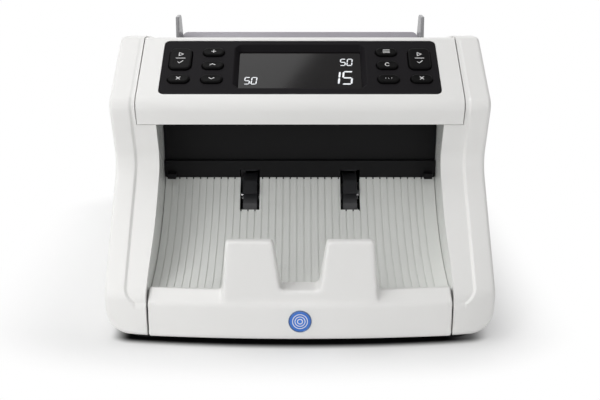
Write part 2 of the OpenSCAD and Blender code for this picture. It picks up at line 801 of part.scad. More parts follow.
module feed_pulleys() {
    piece("#e8e4d8") {
        pulley(feed_c, feed_pulley_r, 0, shaft_r + seat_gap);
        pulley(feed_c, stack_drive_r, 1, shaft_r + seat_gap);
        pulley(feed_c, pick_drive_r, 2, shaft_r + seat_gap);
    }
}

module stacker_pulley() { piece("#e8e4d8") pulley(stack_c, stack_pulley_r, 1, shaft_r + seat_gap); }
module pickup_pulley() { piece("#e8e4d8") pulley(pickup_c, pick_pulley_r, 2, shaft_r + seat_gap); }

// Closed belt round two pulleys of plane i
module belt(a, ra, b, rb, i) {
    across(plane_x(i) - belt_w, plane_x(i)) difference() {
        hull() {
            translate(a) circle(r = ra + belt_gap + belt_t, $fn = 32);
            translate(b) circle(r = rb + belt_gap + belt_t, $fn = 32);
        }
        hull() {
            translate(a) circle(r = ra + belt_gap, $fn = 32);
            translate(b) circle(r = rb + belt_gap, $fn = 32);
        }
    }
}

module drive_belts() {
    piece("#202022") {
        belt(motor_c, motor_pulley_r, feed_c, feed_pulley_r, 0);
        belt(stack_c, stack_pulley_r, feed_c, stack_drive_r, 1);
        belt(pickup_c, pick_pulley_r, feed_c, pick_drive_r, 2);
    }
}

// Motor can on the left frame, with its rotor shaft and pulley
module motor() {
    piece("gray") difference() {
        union() {
            translate([-frame_x, motor_c.x, motor_c.y]) rotate([0, 90, 0]) rotate_extrude() polygon([
                [0, 0], [motor_r, 0], [motor_r, motor_len - 3], [motor_r - 3, motor_len], [0, motor_len]]);
            bar(motor_c, 7, -bay, -frame_x + eps);
        }
        bar(motor_c, motor_shaft_r + run_gap, -half_w, -frame_x + rotor_len + 1);
    }
}

module motor_rotor() {
    piece("silver") {
        bar(motor_c, motor_shaft_r, plane_x(0) - belt_w - 1, -frame_x + rotor_len);
        pulley(motor_c, motor_pulley_r, 0, motor_shaft_r - 0.5);
    }
}

// Hopper plate: rounded outline, roller windows, guide slots and the pinion's pin
tongue_x = guide_x + guide_t / 2 - tongue_w / 2;
slot_out = tongue_x + tongue_w / 2 + 1;
slot_in = tongue_x - guide_travel - tongue_w / 2 - 1;
function rack_s(s) = pinion_u - s * (pitch_r + 1.25 * tooth_m + rack_b / 2);
tongue_t = 3;
module hopper_plate() {
    piece("#b9b3c0") on_plate() {
        translate([0, 0, -plate_t]) linear_extrude(plate_t) difference() {
            polygon(rounded([[-bay, 0, 1], [bay, 0, 1], [bay, plate_len - 2 * plate_cut, 3],
                [bay - plate_cut, plate_len, 4], [-bay + plate_cut, plate_len, 4],
                [-bay, plate_len - 2 * plate_cut, 3]]));
            for (x = [-pick_x, pick_x]) translate([x, pick_u])
                square([pick_w + 4, 2 * pickup_r], center = true);
            for (s = [-1, 1]) translate([s * (slot_in + slot_out) / 2, rack_s(s)])
                square([slot_out - slot_in, tongue_t + 0.8], center = true);
        }
        translate([0, pinion_u, -plate_t - rack_gap - rack_h - 1])
            cylinder(r = pin_r, h = rack_gap + rack_h + 1 + eps);
    }
}

// A note guide with its tongue and rack, s = -1 on the left and 1 on the right
module note_guide(s) {
    rise = 0.5;
    guide_u = [14, plate_len - 3];
    low = [for (u = guide_u) plate_foot + u * plate_up + rise * plate_out];
    top_z = 186;
    rack_top = -plate_t - rack_gap;
    rack_y = rack_s(s);
    teeth_y = pinion_u - s * pitch_r;
    reach = 12;
    piece("#8f9093") {
        across(s * guide_x - guide_t / 2, s * guide_x + guide_t / 2) polygon(rounded([
            [low[0].x, low[0].y, 2], [low[1].x, low[1].y, 1], [low[1].x - 6, top_z, 5],
            [low[0].x + 1, top_z, 6], [low[0].x - 4, low[0].y + 30, 5]]));
        on_plate() {
            translate([s * tongue_x - tongue_w / 2, rack_y - tongue_t / 2, rack_top - rack_h])
                cube([tongue_w, tongue_t, rise + plate_t + rack_gap + rack_h + tongue_t]);
            translate([0, 0, rack_top - rack_h]) linear_extrude(rack_h) rack2d(s, rack_y, teeth_y, reach);
        }
    }
}

// Rack bar with teeth towards the pinion, a gap at the machine's middle
module rack2d(s, body_y, pitch_y, reach) {
    n_in = floor(reach / (PI * tooth_m)) - 1;
    n_out = floor((guide_travel + reach) / (PI * tooth_m));
    lean = tan(20);
    foot = PI * tooth_m / 4 - backlash / 2 + 1.25 * tooth_m * lean;
    tip = PI * tooth_m / 4 - backlash / 2 - 0.9 * tooth_m * lean;
    translate([min(s * (tongue_x + tongue_w / 2), -s * reach), body_y - rack_b / 2])
        square([tongue_x + tongue_w / 2 + reach, rack_b]);
    for (i = [-n_in:n_out]) translate([s * (i - 0.5) * PI * tooth_m, pitch_y]) polygon([
        [-foot, -s * 1.25 * tooth_m - s * eps], [foot, -s * 1.25 * tooth_m - s * eps],
        [tip, s * 0.9 * tooth_m], [-tip, s * 0.9 * tooth_m]]);
}

module note_guide_left() { note_guide(-1); }
module note_guide_right() { note_guide(1); }

// Pinion with involute teeth, one of them towards each rack
function involute(rb, r) = let (t = sqrt(max(0, pow(r / rb, 2) - 1))) t * 180 / PI - atan(t);
module guide_pinion() {
    rb = pitch_r * cos(20);
    ro = pitch_r + 0.9 * tooth_m;
    rr = pitch_r - 1.25 * tooth_m;
    half = 90 / pinion_teeth - (backlash / 2 / pitch_r) * 180 / PI + involute(rb, pitch_r);
    radii = [rr, for (k = [0:4]) rb + (ro - rb) * k / 4];
    flank = [for (r = radii) let (a = half - involute(rb, max(r, rb))) r * [cos(a), sin(a)]];
    piece("ivory") on_plate() translate([0, pinion_u, -plate_t - rack_gap - rack_h])
        linear_extrude(rack_h) difference() {
            union() {
                circle(r = rr + 0.05);
                for (i = [0:pinion_teeth - 1]) rotate(90 + i * 360 / pinion_teeth) polygon(concat(
                    [for (p = flank) [p.x, -p.y]], [for (k = [len(flank) - 1:-1:0]) flank[k]]));
            }
            circle(r = pin_r + run_gap);
        }
}

// Retard bracket: a plate on the two pins with cheeks that hold the roller's axle
axle_r = 2.5;
module retard_bracket() {
    cheek = 3;
    piece("darkgray") difference() {
        union() {
            translate([-bracket_x, bracket_y, retard_c.y])
                cube([2 * bracket_x, bracket_t, knob_z + 6 - retard_c.y]);
            for (s = [-1, 1]) translate([s * (bracket_x - cheek / 2), 0, 0]) across(-cheek / 2, cheek / 2)
                polygon(rounded([[bracket_y, retard_c.y - 4, 1], [retard_c.x + 4, retard_c.y - 4, 3.5],
                    [retard_c.x + 4, retard_c.y + 4, 3.5], [bracket_y + bracket_t, retard_c.y + 8, 0],
                    [bracket_y, retard_c.y + 8, 0]]));
            bar(retard_c, axle_r, -bracket_x, bracket_x);
        }
        for (x = [-pin_x, pin_x]) translate([x, bracket_y + bracket_t + 1, pin_z]) rotate([90, 0, 0])
            cylinder(r = pin_r + run_gap, h = bracket_t + 2);
        translate([0, bracket_y + bracket_t + 1, knob_z]) rotate([90, 0, 0])
            cylinder(r = screw_r + run_gap, h = bracket_t + 2);
    }
}

module retard_roller() {
    piece("#5a3a30") roller_set(retard_c, retard_r, axle_r + seat_gap, [roller_x[0]], roller_w - 4);
}

// Feed gap knob with a fluted rim, on a screw that runs into the bracket
module gap_knob() {
    knob_l = 11;
    piece("#242426") translate([0, head_back + seam, knob_z]) rotate([-90, 0, 0]) {
        linear_extrude(knob_l) difference() {
            circle(r = knob_r);
            for (i = [0:17]) rotate(i * 20) translate([knob_r + 0.4, 0]) circle(r = 1, $fn = 16);
        }
        translate([0, 0, knob_l - eps]) cylinder(r1 = knob_r - 1.4, r2 = knob_r - 2.4, h = 1);
        translate([0, 0, bracket_y - 1 - head_back - seam])
            cylinder(r = screw_r, h = head_back + seam + 1 - bracket_y + eps);
    }
}

// Electronics
module main_board() {
    piece("seagreen") translate([0, main_y, lift + post_h]) {
        translate([-main_size.x / 2, -main_size.y / 2, 0]) cube([main_size.x, main_size.y, board_t]);
        for (x = [-1, 1]) for (y = [-1, 1]) translate([x * main_post.x, y * main_post.y, -post_h])
            cylinder(r = 3, h = post_h);
        translate([-chip.x, -10, board_t]) cube(chip);
        translate([chip.x, -14, board_t]) cube(driver);
        for (i = [-4:4]) translate([1.5 * socket.x * i, 20, board_t]) cube(socket);
    }
}

module power_supply() {
    piece("silver") translate([bay - supply_gap.x - supply_tray.x, body_d - supply_gap.y - supply_tray.y, lift]) {
        cube(supply_tray);
        translate([4, 4, supply_tray.z]) cube(core);
        for (i = [1:3]) translate([core.x + choke.y * i, choke.y, supply_tray.z])
            cylinder(r = can[0], h = can[1]);
        translate([core.x + 10, core.y, supply_tray.z]) cube(choke);
    }
}

// Mains inlet with three pins in a deep socket
module power_inlet() {
    pin = [2, 4];
    lip = 3;
    piece("#1a1a1b") translate([inlet.x, 0, inlet.y]) {
        difference() {
            union() {
                lengthwise(body_d - inlet_depth, body_d)
                    polygon(rounded(slab(inlet_size.x, inlet_size.y, 3)));
                lengthwise(body_d - wall - lip, body_d - wall)
                    polygon(rounded(slab(inlet_size.x + 2 * lip, inlet_size.y + lip, 3)));
            }
            lengthwise(body_d - inlet_depth + 2, body_d + 1)
                polygon(rounded(slab(inlet_size.x - 3, inlet_size.y - 3, 3)));
        }
        for (p = [[-7.5, -3.5], [7.5, -3.5], [0, 4.5]]) lengthwise(body_d - inlet_depth + 2 - eps, body_d - 4)
            translate(p) square(pin, center = true);
    }
}

// Rocker switch in its frame, drawn in the off position
rocker_y = 6;
switch_len = 16;
switch_back = 2;
module switch_frame() {
    piece("#1a1a1b") translate([rocker.x, 0, rocker.y]) difference() {
        union() {
            lengthwise(body_d - switch_len, body_d) square([rocker_size.x + 3, rocker_size.y + 3], center = true);
            lengthwise(body_d - wall - 2, body_d - wall)
                square([rocker_size.x + 6, rocker_size.y + 6], center = true);
        }
        lengthwise(body_d - switch_len + switch_back, body_d + 1)
            square([rocker_size.x + 0.6, rocker_size.y + 1.2], center = true);
        bar([body_d - rocker_y, 0], 1.5 + run_gap, -rocker_size.x / 2 - 1, rocker_size.x / 2 + 1);
    }
}

module power_rocker() {
    l = rocker_size.y / 2 - 0.4;
    piece("#b02a22") translate([rocker.x, body_d - rocker_y, rocker.y]) {
        rotate([-rocker_tilt, 0, 0]) across(-rocker_size.x / 2, rocker_size.x / 2) polygon(rounded([
            [-3, -l + 3, 1], [3.2, -l, 0.8], [2, 0, 30], [3.2, l, 0.8], [-3, l - 3, 1]]));
        bar([0, 0], 1.5, -rocker_size.x / 2 - 0.9, rocker_size.x / 2 + 0.9);
    }
}

base_plate();
feet();
left_side_cover();
right_side_cover();
left_lining();
right_lining();
front_panel();
badge();
top_cover();
rear_cover();
rear_screws();
control_bezel();
lcd_window();
lcd_module();
control_board();
key_start_left();
key_clear_left();
key_add();
key_up();
key_down();
key_batch();
key_mode();
key_menu();
key_start_right();
key_clear_right();
stacker_tray();
stacker_back();
stacker_shaft();
stacker_wheel_left();
stacker_wheel_right();
stacker_pulley();
left_frame();
right_frame();
cross_bar();
bushes();
hopper_plate();
note_guide_left();
note_guide_right();
guide_pinion();
pickup_shaft();
pickup_rollers();
pickup_pulley();
feed_shaft();
feed_rollers();
feed_pulleys();
pinch_shaft();
pinch_rollers();
retard_bracket();
retard_roller();
gap_knob();
motor();
motor_rotor();
drive_belts();
main_board();
power_supply();
power_inlet();
switch_frame();
power_rocker();
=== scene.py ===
import json
import math

import bmesh
import bpy
import numpy as np
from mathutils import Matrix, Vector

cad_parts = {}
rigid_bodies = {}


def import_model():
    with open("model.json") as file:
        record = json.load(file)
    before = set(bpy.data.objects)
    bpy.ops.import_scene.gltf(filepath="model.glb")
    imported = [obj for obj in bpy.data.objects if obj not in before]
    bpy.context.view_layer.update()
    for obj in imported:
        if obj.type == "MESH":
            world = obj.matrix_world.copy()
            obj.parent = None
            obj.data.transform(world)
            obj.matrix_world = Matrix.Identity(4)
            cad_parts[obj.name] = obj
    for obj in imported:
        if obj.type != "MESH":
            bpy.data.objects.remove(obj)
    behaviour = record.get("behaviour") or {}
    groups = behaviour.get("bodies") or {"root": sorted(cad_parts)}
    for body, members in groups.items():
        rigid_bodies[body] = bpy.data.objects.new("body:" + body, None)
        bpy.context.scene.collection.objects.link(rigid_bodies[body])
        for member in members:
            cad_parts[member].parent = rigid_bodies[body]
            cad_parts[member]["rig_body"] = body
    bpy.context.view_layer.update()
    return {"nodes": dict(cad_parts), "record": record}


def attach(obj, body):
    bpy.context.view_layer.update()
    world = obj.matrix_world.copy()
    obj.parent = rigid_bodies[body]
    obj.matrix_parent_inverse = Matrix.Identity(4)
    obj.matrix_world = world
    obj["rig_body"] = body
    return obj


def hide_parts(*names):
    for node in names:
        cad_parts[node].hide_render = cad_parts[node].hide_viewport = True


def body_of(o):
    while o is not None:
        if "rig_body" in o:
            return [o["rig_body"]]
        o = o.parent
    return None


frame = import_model()
nodes = frame["nodes"]
mm = 0.001
print("frame loaded:", len(nodes), "nodes")

# Main sizes in millimetres, depths counted from the machine's front as in the part's source
body = {"width": 250.0, "depth": 285.0, "lift": 4.0, "headTop": 178.5, "deck": 148.0, "seam": 0.4, "armWidth": 27.5,
        "nose": (65.0, 146.0), "waist": (72.5, 100.0), "headFront": 115.5, "toe": 32.0, "bow": 1050.0, "lip": 4.8,
        "noseRound": 9.0}
half = body["width"] / 2
armInner = half - body["armWidth"]
bay = armInner - body["seam"]
slope = math.atan2(body["headTop"] - body["nose"][1], body["headFront"] - body["nose"][0])
# the nose runs on past the slope's foot by the lip
noseTip = (body["nose"][0] - body["lip"] * math.cos(slope), body["nose"][1] - body["lip"] * math.sin(slope))
weldGap = 2e-6  # points closer than this become one, in metres


def bowAt(x):
    # how far the bowed front lies back at distance x from the middle
    return body["bow"] - np.sqrt(body["bow"] ** 2 - x ** 2)


# Shader sums

class Wire:
    # a shader socket that takes part in sums and adds nodes beside itself
    def __init__(self, tree, socket):
        self.tree = tree
        self.socket = socket

    def add(self, kind, settings=None, sockets=None, out=0):
        # any node: its type, then its settings, then values or links for its sockets
        node = self.tree.nodes.new(kind)
        for key, value in (settings or {}).items():
            setattr(node, key, value)
        for key, value in (sockets or {}).items():
            feed(self.tree, node.inputs[key], value)
        return Wire(self.tree, node.outputs[out])

    def sum(self, operation, *values):
        return self.add("ShaderNodeMath", {"operation": operation}, dict(enumerate(values)))

    def __add__(self, other):
        return self.sum("ADD", self, other)

    def __sub__(self, other):
        return self.sum("SUBTRACT", self, other)

    def __rsub__(self, other):
        return self.sum("SUBTRACT", other, self)

    def __mul__(self, other):
        return self.sum("MULTIPLY", self, other)

    def __pow__(self, other):
        return self.sum("POWER", self, other)

    __radd__ = __add__
    __rmul__ = __mul__

    def smooth(self, low, high):
        # 0 below low, 1 above high, eased between them
        return self.add("ShaderNodeMapRange", {"interpolation_type": "SMOOTHSTEP"},
                        {"Value": self, "From Min": low, "From Max": high})

    def mixColor(self, first, second):
        # first where this value is 0, second where it is 1
        return self.add("ShaderNodeMix", {"data_type": "RGBA"}, {0: self, 6: first, 7: second}, out=2)


def feed(tree, socket, value):
    if isinstance(value, Wire):
        tree.links.new(value.socket, socket)
    else:
        socket.default_value = value


def paint(name, sockets):
    # new material: sockets is a function of the object coordinates that gives the shader's inputs
    material = bpy.data.materials.new(name)
    material.use_nodes = True
    tree = material.node_tree
    shader = tree.nodes["Principled BSDF"]
    place = Wire(tree, tree.nodes.new("ShaderNodeTexCoord").outputs["Object"])
    for key, value in sockets(place).items():
        feed(tree, shader.inputs[key], value)
    return material


def noise(place, scale, detail=2.0, rough=0.5):
    return place.add("ShaderNodeTexNoise", {}, {"Vector": place, "Scale": scale, "Detail": detail, "Roughness": rough})


def bump(place, height, strength, distance):
    return place.add("ShaderNodeBump", {}, {"Height": height, "Strength": strength, "Distance": distance})


def rgba(color, factor=1.0):
    return tuple(min(1.0, c * factor) for c in color) + (1.0,)


# Camera, floor and lights

view = {"place": (0.0, -0.6235, 0.264), "pitch": 71.0, "lens": 51.0, "sensor": 36.0, "clip": 0.01}
lamps = {
    "overhead": {"place": (-0.6, -0.18, 1.3), "turn": -37.5, "size": (0.44, 1.6), "power": 6.5},
    "top": {"place": (-0.55, -0.6, 1.3), "aim": (0.0, -0.1, 0.06), "size": (1.6, 0.8), "power": 2.6},
    "key": {"place": (-0.75, -0.95, 0.38), "aim": (-0.02, -0.1, 0.06), "size": (0.7, 0.6), "power": 2.8},
    "fill": {"place": (0.1, -1.5, 0.25), "aim": (0.0, 0.0, 0.08), "size": (1.4, 0.5), "power": 1.4},
    "left": {"place": (-1.3, -0.2, 0.7), "aim": (0.0, 0.0, 0.1), "size": (0.5, 1.0), "power": 0.6},
    "right": {"place": (1.3, -0.2, 0.7), "aim": (0.0, 0.0, 0.1), "size": (0.5, 1.0), "power": 0.1},
    "back": {"place": (0.0, 1.5, 1.0), "aim": (0.0, 0.0, 0.1), "size": (1.2, 0.6), "power": 3.0}}
# clear, bow and spread shape the patch under the machine; the rest says how far around it a painted dark contact shadow
# and the white reach, and dark is that painted shadow's colour
floorLook = {"size": 8.0, "clear": (0.108, 0.1382), "bow": 0.6, "spread": 0.55, "lean": 0.022, "under": 0.001,
             "paintedShadowReach": 0.009, "fade": 0.055, "color": (0.9, 0.9, 0.9), "dark": (0.01, 0.01, 0.01)}
skyLevel = 0.4  # how much of the white surroundings lights the machine
white = (1.0, 1.0, 1.0, 1.0)


def makeCamera():
    data = bpy.data.cameras.new("camera")
    data.lens = view["lens"]
    data.sensor_width = view["sensor"]
    data.clip_start = view["clip"]
    camera = bpy.data.objects.new("camera", data)
    camera.location = view["place"]
    camera.rotation_euler = (math.radians(view["pitch"]), 0.0, 0.0)
    bpy.context.scene.collection.objects.link(camera)
    bpy.context.scene.camera = camera


def makeLamp(name, look):
    data = bpy.data.lights.new(name, "AREA")
    data.shape = "RECTANGLE"
    data.size, data.size_y = look["size"]
    data.energy = look["power"]
    lamp = bpy.data.objects.new(name, data)
    lamp.location = look["place"]
    if "aim" in look:
        aim = [a - p for a, p in zip(look["aim"], look["place"])]
        lamp.rotation_euler = Vector(aim).to_track_quat("-Z", "Y").to_euler()
    else:
        lamp.rotation_euler = (0.0, 0.0, math.radians(look["turn"]))
    bpy.context.scene.collection.objects.link(lamp)


def seenDirectly(tree):
    # 1 for rays that show the background to the camera, to gloss or through glass
    rays = tree.nodes.new("ShaderNodeLightPath").outputs
    seen = [Wire(tree, rays[k]) for k in ("Is Camera Ray", "Is Glossy Ray", "Is Transmission Ray")]
    return seen[0].sum("MAXIMUM", seen[0].sum("MAXIMUM", seen[0], seen[1]), seen[2])


def makeWorld():
    world = bpy.data.worlds.new("studio")
    bpy.context.scene.world = world
    world.use_nodes = True
    tree = world.node_tree
    seen = seenDirectly(tree)
    feed(tree, tree.nodes["Background"].inputs["Strength"], seen * (1.0 - skyLevel) + skyLevel)
    tree.nodes["Background"].inputs["Color"].default_value = white


def makeFloor():
    square = np.array([(-1.0, -1.0, 0.0), (1.0, -1.0, 0.0), (1.0, 1.0, 0.0), (-1.0, 1.0, 0.0)])
    mesh = bpy.data.meshes.new("floor")
    mesh.from_pydata(square * floorLook["size"] / 2, [], [(0, 1, 2, 3)])
    floor = bpy.data.objects.new("floor", mesh)
    bpy.context.scene.collection.objects.link(floor)
    material = bpy.data.materials.new("floor_white")
    material.use_nodes = True
    tree = material.node_tree
    tree.nodes.remove(tree.nodes["Principled BSDF"])
    place = Wire(tree, tree.nodes.new("ShaderNodeTexCoord").outputs["Object"])
    # plain paper under the machine, which takes its shadow and also has a shadow painted dark along and under its edge,
    # and white light from a little way outside it
    x, y = [place.add("ShaderNodeSeparateXYZ", {}, {0: place}, out=k) for k in (0, 1)]
    depthPast = x.sum("MAXIMUM", x.sum("ABSOLUTE", y) + x * x * floorLook["bow"] - floorLook["clear"][1], 0.0)

    def away(shift):
        # distance outside a rounded patch under the machine, moved aside by the shift
        past = x.sum("MAXIMUM", x.sum("ABSOLUTE", x + shift) - floorLook["clear"][0], 0.0) * floorLook["spread"]
        return (past * past + depthPast * depthPast) ** 0.5

    fade = away(floorLook["lean"]).smooth(floorLook["paintedShadowReach"] / 2, floorLook["fade"])
    # painted shadow: the paper's colour is near black under and just around the machine's edge, and fades to its pale
    # colour by the painted shadow's reach
    near = away(0.0).smooth(floorLook["under"], floorLook["paintedShadowReach"])
    tone = near.mixColor(rgba(floorLook["dark"]), rgba(floorLook["color"]))
    paper = place.add("ShaderNodeBsdfDiffuse", {}, {"Color": tone})
    glow = place.add("ShaderNodeEmission", {}, {"Color": white, "Strength": 1.0})
    both = place.add("ShaderNodeMixShader", {}, {0: fade * seenDirectly(tree), 1: paper, 2: glow})
    tree.links.new(both.socket, tree.nodes["Material Output"].inputs["Surface"])
    mesh.materials.append(material)


bpy.context.scene.view_settings.view_transform = "Standard"
makeCamera()
makeWorld()
makeFloor()
for lampName, lampLook in lamps.items():
    makeLamp(lampName, lampLook)
print("stage set")


# Finishes

plastics = {
    "shell_white": {"color": (0.85, 0.845, 0.83), "vary": 0.02, "rough": 0.46, "grain": 0.10, "scale": 2600.0},
    "lining_grey": {"color": (0.85, 0.86, 0.835), "vary": 0.03, "rough": 0.3, "grain": 0.08, "scale": 2200.0},
    "black_plastic": {"color": (0.007, 0.007, 0.0075), "vary": 0.15, "rough": 0.55, "grain": 0.25, "scale": 1800.0,
                      "gloss": 0.12},
    "bezel_charcoal": {"color": (0.0115, 0.0105, 0.012), "vary": 0.08, "rough": 0.48, "grain": 0.16, "scale": 3000.0,
                       "gloss": 0.04},
    "key_black": {"color": (0.0045, 0.0043, 0.0045), "vary": 0.1, "rough": 0.36, "grain": 0.06, "scale": 3200.0,
                  "gloss": 0.04},
    "foot_rubber": {"color": (0.02, 0.02, 0.02), "vary": 0.25, "rough": 0.85, "grain": 0.4, "scale": 1500.0},
    "belt_rubber": {"color": (0.018, 0.018, 0.018), "vary": 0.3, "rough": 0.8, "grain": 0.4, "scale": 1200.0},
    "roller_rubber": {"color": (0.085, 0.065, 0.055), "vary": 0.25, "rough": 0.8, "grain": 0.5, "scale": 2200.0},
    "roller_nylon": {"color": (0.8, 0.77, 0.7), "vary": 0.05, "rough": 0.4, "grain": 0.06, "scale": 1800.0},
    "wheel_grey": {"color": (0.03, 0.03, 0.033), "vary": 0.1, "rough": 0.45, "grain": 0.12, "scale": 2000.0},
    "display_body": {"color": (0.02, 0.022, 0.025), "vary": 0.1, "rough": 0.6, "grain": 0.1, "scale": 1500.0},
    "rocker_red": {"color": (0.45, 0.02, 0.015), "vary": 0.06, "rough": 0.22, "grain": 0.03, "scale": 1800.0},
    "board_green": {"color": (0.012, 0.11, 0.045), "vary": 0.4, "rough": 0.35, "grain": 0.2, "scale": 900.0},
    "guide_grey": {"color": (0.31, 0.31, 0.32), "vary": 0.05, "rough": 0.3, "grain": 0.04, "scale": 1600.0},
    "smoke_plastic": {"color": (0.40, 0.38, 0.42), "vary": 0.05, "rough": 0.3, "grain": 0.05, "scale": 1600.0}}
metals = {
    "steel": {"color": (0.58, 0.6, 0.62), "rough": 0.34, "stretch": (60.0, 900.0, 900.0)},
    "shaft_steel": {"color": (0.66, 0.66, 0.67), "rough": 0.22, "stretch": (1400.0, 120.0, 120.0)},
    "motor_steel": {"color": (0.3, 0.3, 0.31), "rough": 0.38, "stretch": (300.0, 300.0, 300.0)},
    "bush_bronze": {"color": (0.5, 0.34, 0.16), "rough": 0.4, "stretch": (900.0, 900.0, 900.0)}}
# handling marks about 70 mm across, how far they and the grain move the gloss, and the grain's depth in metres
plasticWear = {"cloud": 14.0, "soft": (0.3, 0.7), "cloudGloss": 0.08, "grainGloss": 0.06, "depth": 0.0002}
metalWear = {"tint": (0.86, 1.08), "gloss": 0.2, "strength": 0.08, "depth": 0.0001}


def mouldedPlastic(name, look):
    # colour clouds a little, gloss follows it, and a fine spark-eroded grain breaks the highlights
    def sockets(place):
        cloud = noise(place, plasticWear["cloud"], 3.0).smooth(*plasticWear["soft"])
        grain = noise(place, look["scale"], 2.0, 0.6)
        gloss = plasticWear["cloudGloss"], plasticWear["grainGloss"]
        return {"Base Color": cloud.mixColor(rgba(look["color"], 1.0 - look["vary"]), rgba(look["color"])),
                "Roughness": cloud * gloss[0] + grain * gloss[1] + (look["rough"] - sum(gloss) / 2),
                "Specular IOR Level": look.get("gloss", 0.5),
                "Normal": bump(place, grain, look["grain"], plasticWear["depth"])}
    return paint(name, sockets)


def platedMetal(name, look):
    # fine streaks along the rolling or grinding direction vary gloss and tint
    def sockets(place):
        along = place.add("ShaderNodeMapping", {}, {"Vector": place, "Scale": look["stretch"]})
        streak = noise(along, 1.0, 3.0, 0.6)
        dark, bright = [rgba(look["color"], tint) for tint in metalWear["tint"]]
        return {"Base Color": streak.mixColor(dark, bright), "Metallic": 1.0,
                "Roughness": streak * metalWear["gloss"] + (look["rough"] - metalWear["gloss"] / 2),
                "Normal": bump(place, streak, metalWear["strength"], metalWear["depth"])}
    return paint(name, sockets)


finish = {name: mouldedPlastic(name, look) for name, look in plastics.items()}
finish.update({name: platedMetal(name, look) for name, look in metals.items()})
print("finishes made:", len(finish))


# Shapes

leastRound = {"inset": 0.3, "outline": 0.02}  # smallest corner radii in millimetres


def unit(v):
    return v / np.linalg.norm(v, axis=-1, keepdims=True)


def turnOf(corners):
    # unit vectors to the corner before and the corner after, and which way the outline turns there
    p = corners[:, :2]
    back = unit(np.roll(p, 1, 0) - p)
    ahead = unit(np.roll(p, -1, 0) - p)
    side = np.sign(back[:, 1] * ahead[:, 0] - back[:, 0] * ahead[:, 1])
    return back, ahead, side


def inset(corners, d):
    # corner list (x, y, radius) with every side moved inwards by d, its radii to suit
    back, ahead, side = turnOf(corners)
    m = np.stack([back[:, 1], -back[:, 0]], 1)
    n = np.stack([-ahead[:, 1], ahead[:, 0]], 1)
    p = corners[:, :2] + d * (m + n) / (1 + (m * n).sum(1, keepdims=True))
    return np.column_stack([p, np.maximum(leastRound["inset"], corners[:, 2] - side * d)])


def outline(corners, steps=8):
    # each corner becomes an arc of its radius that touches both sides, with steps chords
    back, ahead, side = turnOf(corners)
    bend = np.arccos(np.clip((back * ahead).sum(1), -1, 1)) / 2
    r = np.maximum(corners[:, 2], leastRound["outline"])
    mid = corners[:, :2] + unit(back + ahead) * (r / np.sin(bend))[:, None]
    first = corners[:, :2] + back * (r / np.tan(bend))[:, None] - mid
    angle = (side * (math.pi - 2 * bend))[:, None] * np.linspace(0, 1, steps + 1)
    x = mid[:, :1] + first[:, :1] * np.cos(angle) - first[:, 1:] * np.sin(angle)
    y = mid[:, 1:] + first[:, :1] * np.sin(angle) + first[:, 1:] * np.cos(angle)
    return np.stack([x, y], -1).reshape(-1, 2)


def slab(w, h, r):
    return np.array([(-w / 2, -h / 2, r), (w / 2, -h / 2, r), (w / 2, h / 2, r), (-w / 2, h / 2, r)])


def gridFaces(rows, cols, ring=False, start=0):
    # quads between the rows of a grid of points; ring joins the last column to the first
    i, j = np.mgrid[0:rows - 1, 0:cols if ring else cols - 1]
    k = (j + 1) % cols
    quads = np.stack([i * cols + j, i * cols + k, (i + 1) * cols + k, (i + 1) * cols + j], -1)
    return quads.reshape(-1, 4) + start


def ringSkin(rings):
    # points and faces of a skin over closed rings of equal length, with a lid on the first and the last
    n = len(rings[0])
    last = (len(rings) - 1) * n
    lids = [list(range(n)), list(range(last, last + n))]
    return np.vstack(rings), gridFaces(len(rings), n, ring=True).tolist() + lids


def ease(x, low, high):
    # 0 below low, 1 above high, smooth between them
    t = np.clip((x - low) / (high - low), 0.0, 1.0)
    return t * t * (3 - 2 * t)


def onSlope(x, s, n):
    # point of the control slope: across, up the slope from the nose, out of its face
    y = body["nose"][0] + s * math.cos(slope) - n * math.sin(slope)
    z = body["nose"][1] + s * math.sin(slope) + n * math.cos(slope)
    return np.stack(np.broadcast_arrays(x, y, z), -1)


def coordsOf(mesh):
    points = np.empty(len(mesh.vertices) * 3)
    mesh.vertices.foreach_get("co", points)
    return points.reshape(-1, 3)


def shadeSmooth(mesh, sharp=180.0):
    # smooth faces, with sharp edges where they turn by more than the angle
    mesh.polygons.foreach_set("use_smooth", np.ones(len(mesh.polygons), bool))
    if sharp < 180.0:
        mesh.set_sharp_from_angle(angle=math.radians(sharp))


def addPiece(name, mesh, material, bodyName, replaced):
    mesh.materials.clear()
    mesh.materials.append(material)
    piece = bpy.data.objects.new(name, mesh)
    bpy.context.scene.collection.objects.link(piece)
    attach(piece, bodyName)
    if replaced:
        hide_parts(*replaced)
    return piece


def makePiece(name, points, faces, slotName, bodyName="housing", replaced=(), material=None, sharp=38.0):
    # mesh from millimetre points, welded, facing outwards, smooth up to the sharp angle
    mesh = bpy.data.meshes.new(name)
    mesh.from_pydata(points * mm - np.array([0.0, body["depth"] / 2 * mm, 0.0]), [], faces)
    work = bmesh.new()
    work.from_mesh(mesh)
    bmesh.ops.remove_doubles(work, verts=work.verts, dist=weldGap)
    bmesh.ops.recalc_face_normals(work, faces=work.faces)
    work.to_mesh(mesh)
    work.free()
    shadeSmooth(mesh, sharp)
    return addPiece(name, mesh, material or finish[slotName], bodyName, replaced)


def addWall(piece, thickness):
    wall = piece.modifiers.new("wall", "SOLIDIFY")
    wall.thickness = thickness * mm
    wall.offset = -1.0
    wall.use_even_offset = True


def addBevel(piece, width, segments=3, angle=50.0, clamp=True):
    soft = piece.modifiers.new("soft edges", "BEVEL")
    soft.width = width * mm
    soft.segments = segments
    soft.limit_method = "ANGLE"
    soft.angle_limit = math.radians(angle)
    soft.use_clamp_overlap = clamp
    addEvenShading(piece)


def addEvenShading(piece):
    even = piece.modifiers.new("even shading", "WEIGHTED_NORMAL")
    even.keep_sharp = True


# Side covers

head = {"half": 107.4, "low": 128.6, "back": 122.5, "seam": 0.5, "slot": 1.1, "fall": 1.4, "round": 9.0, "gap": 0.85}
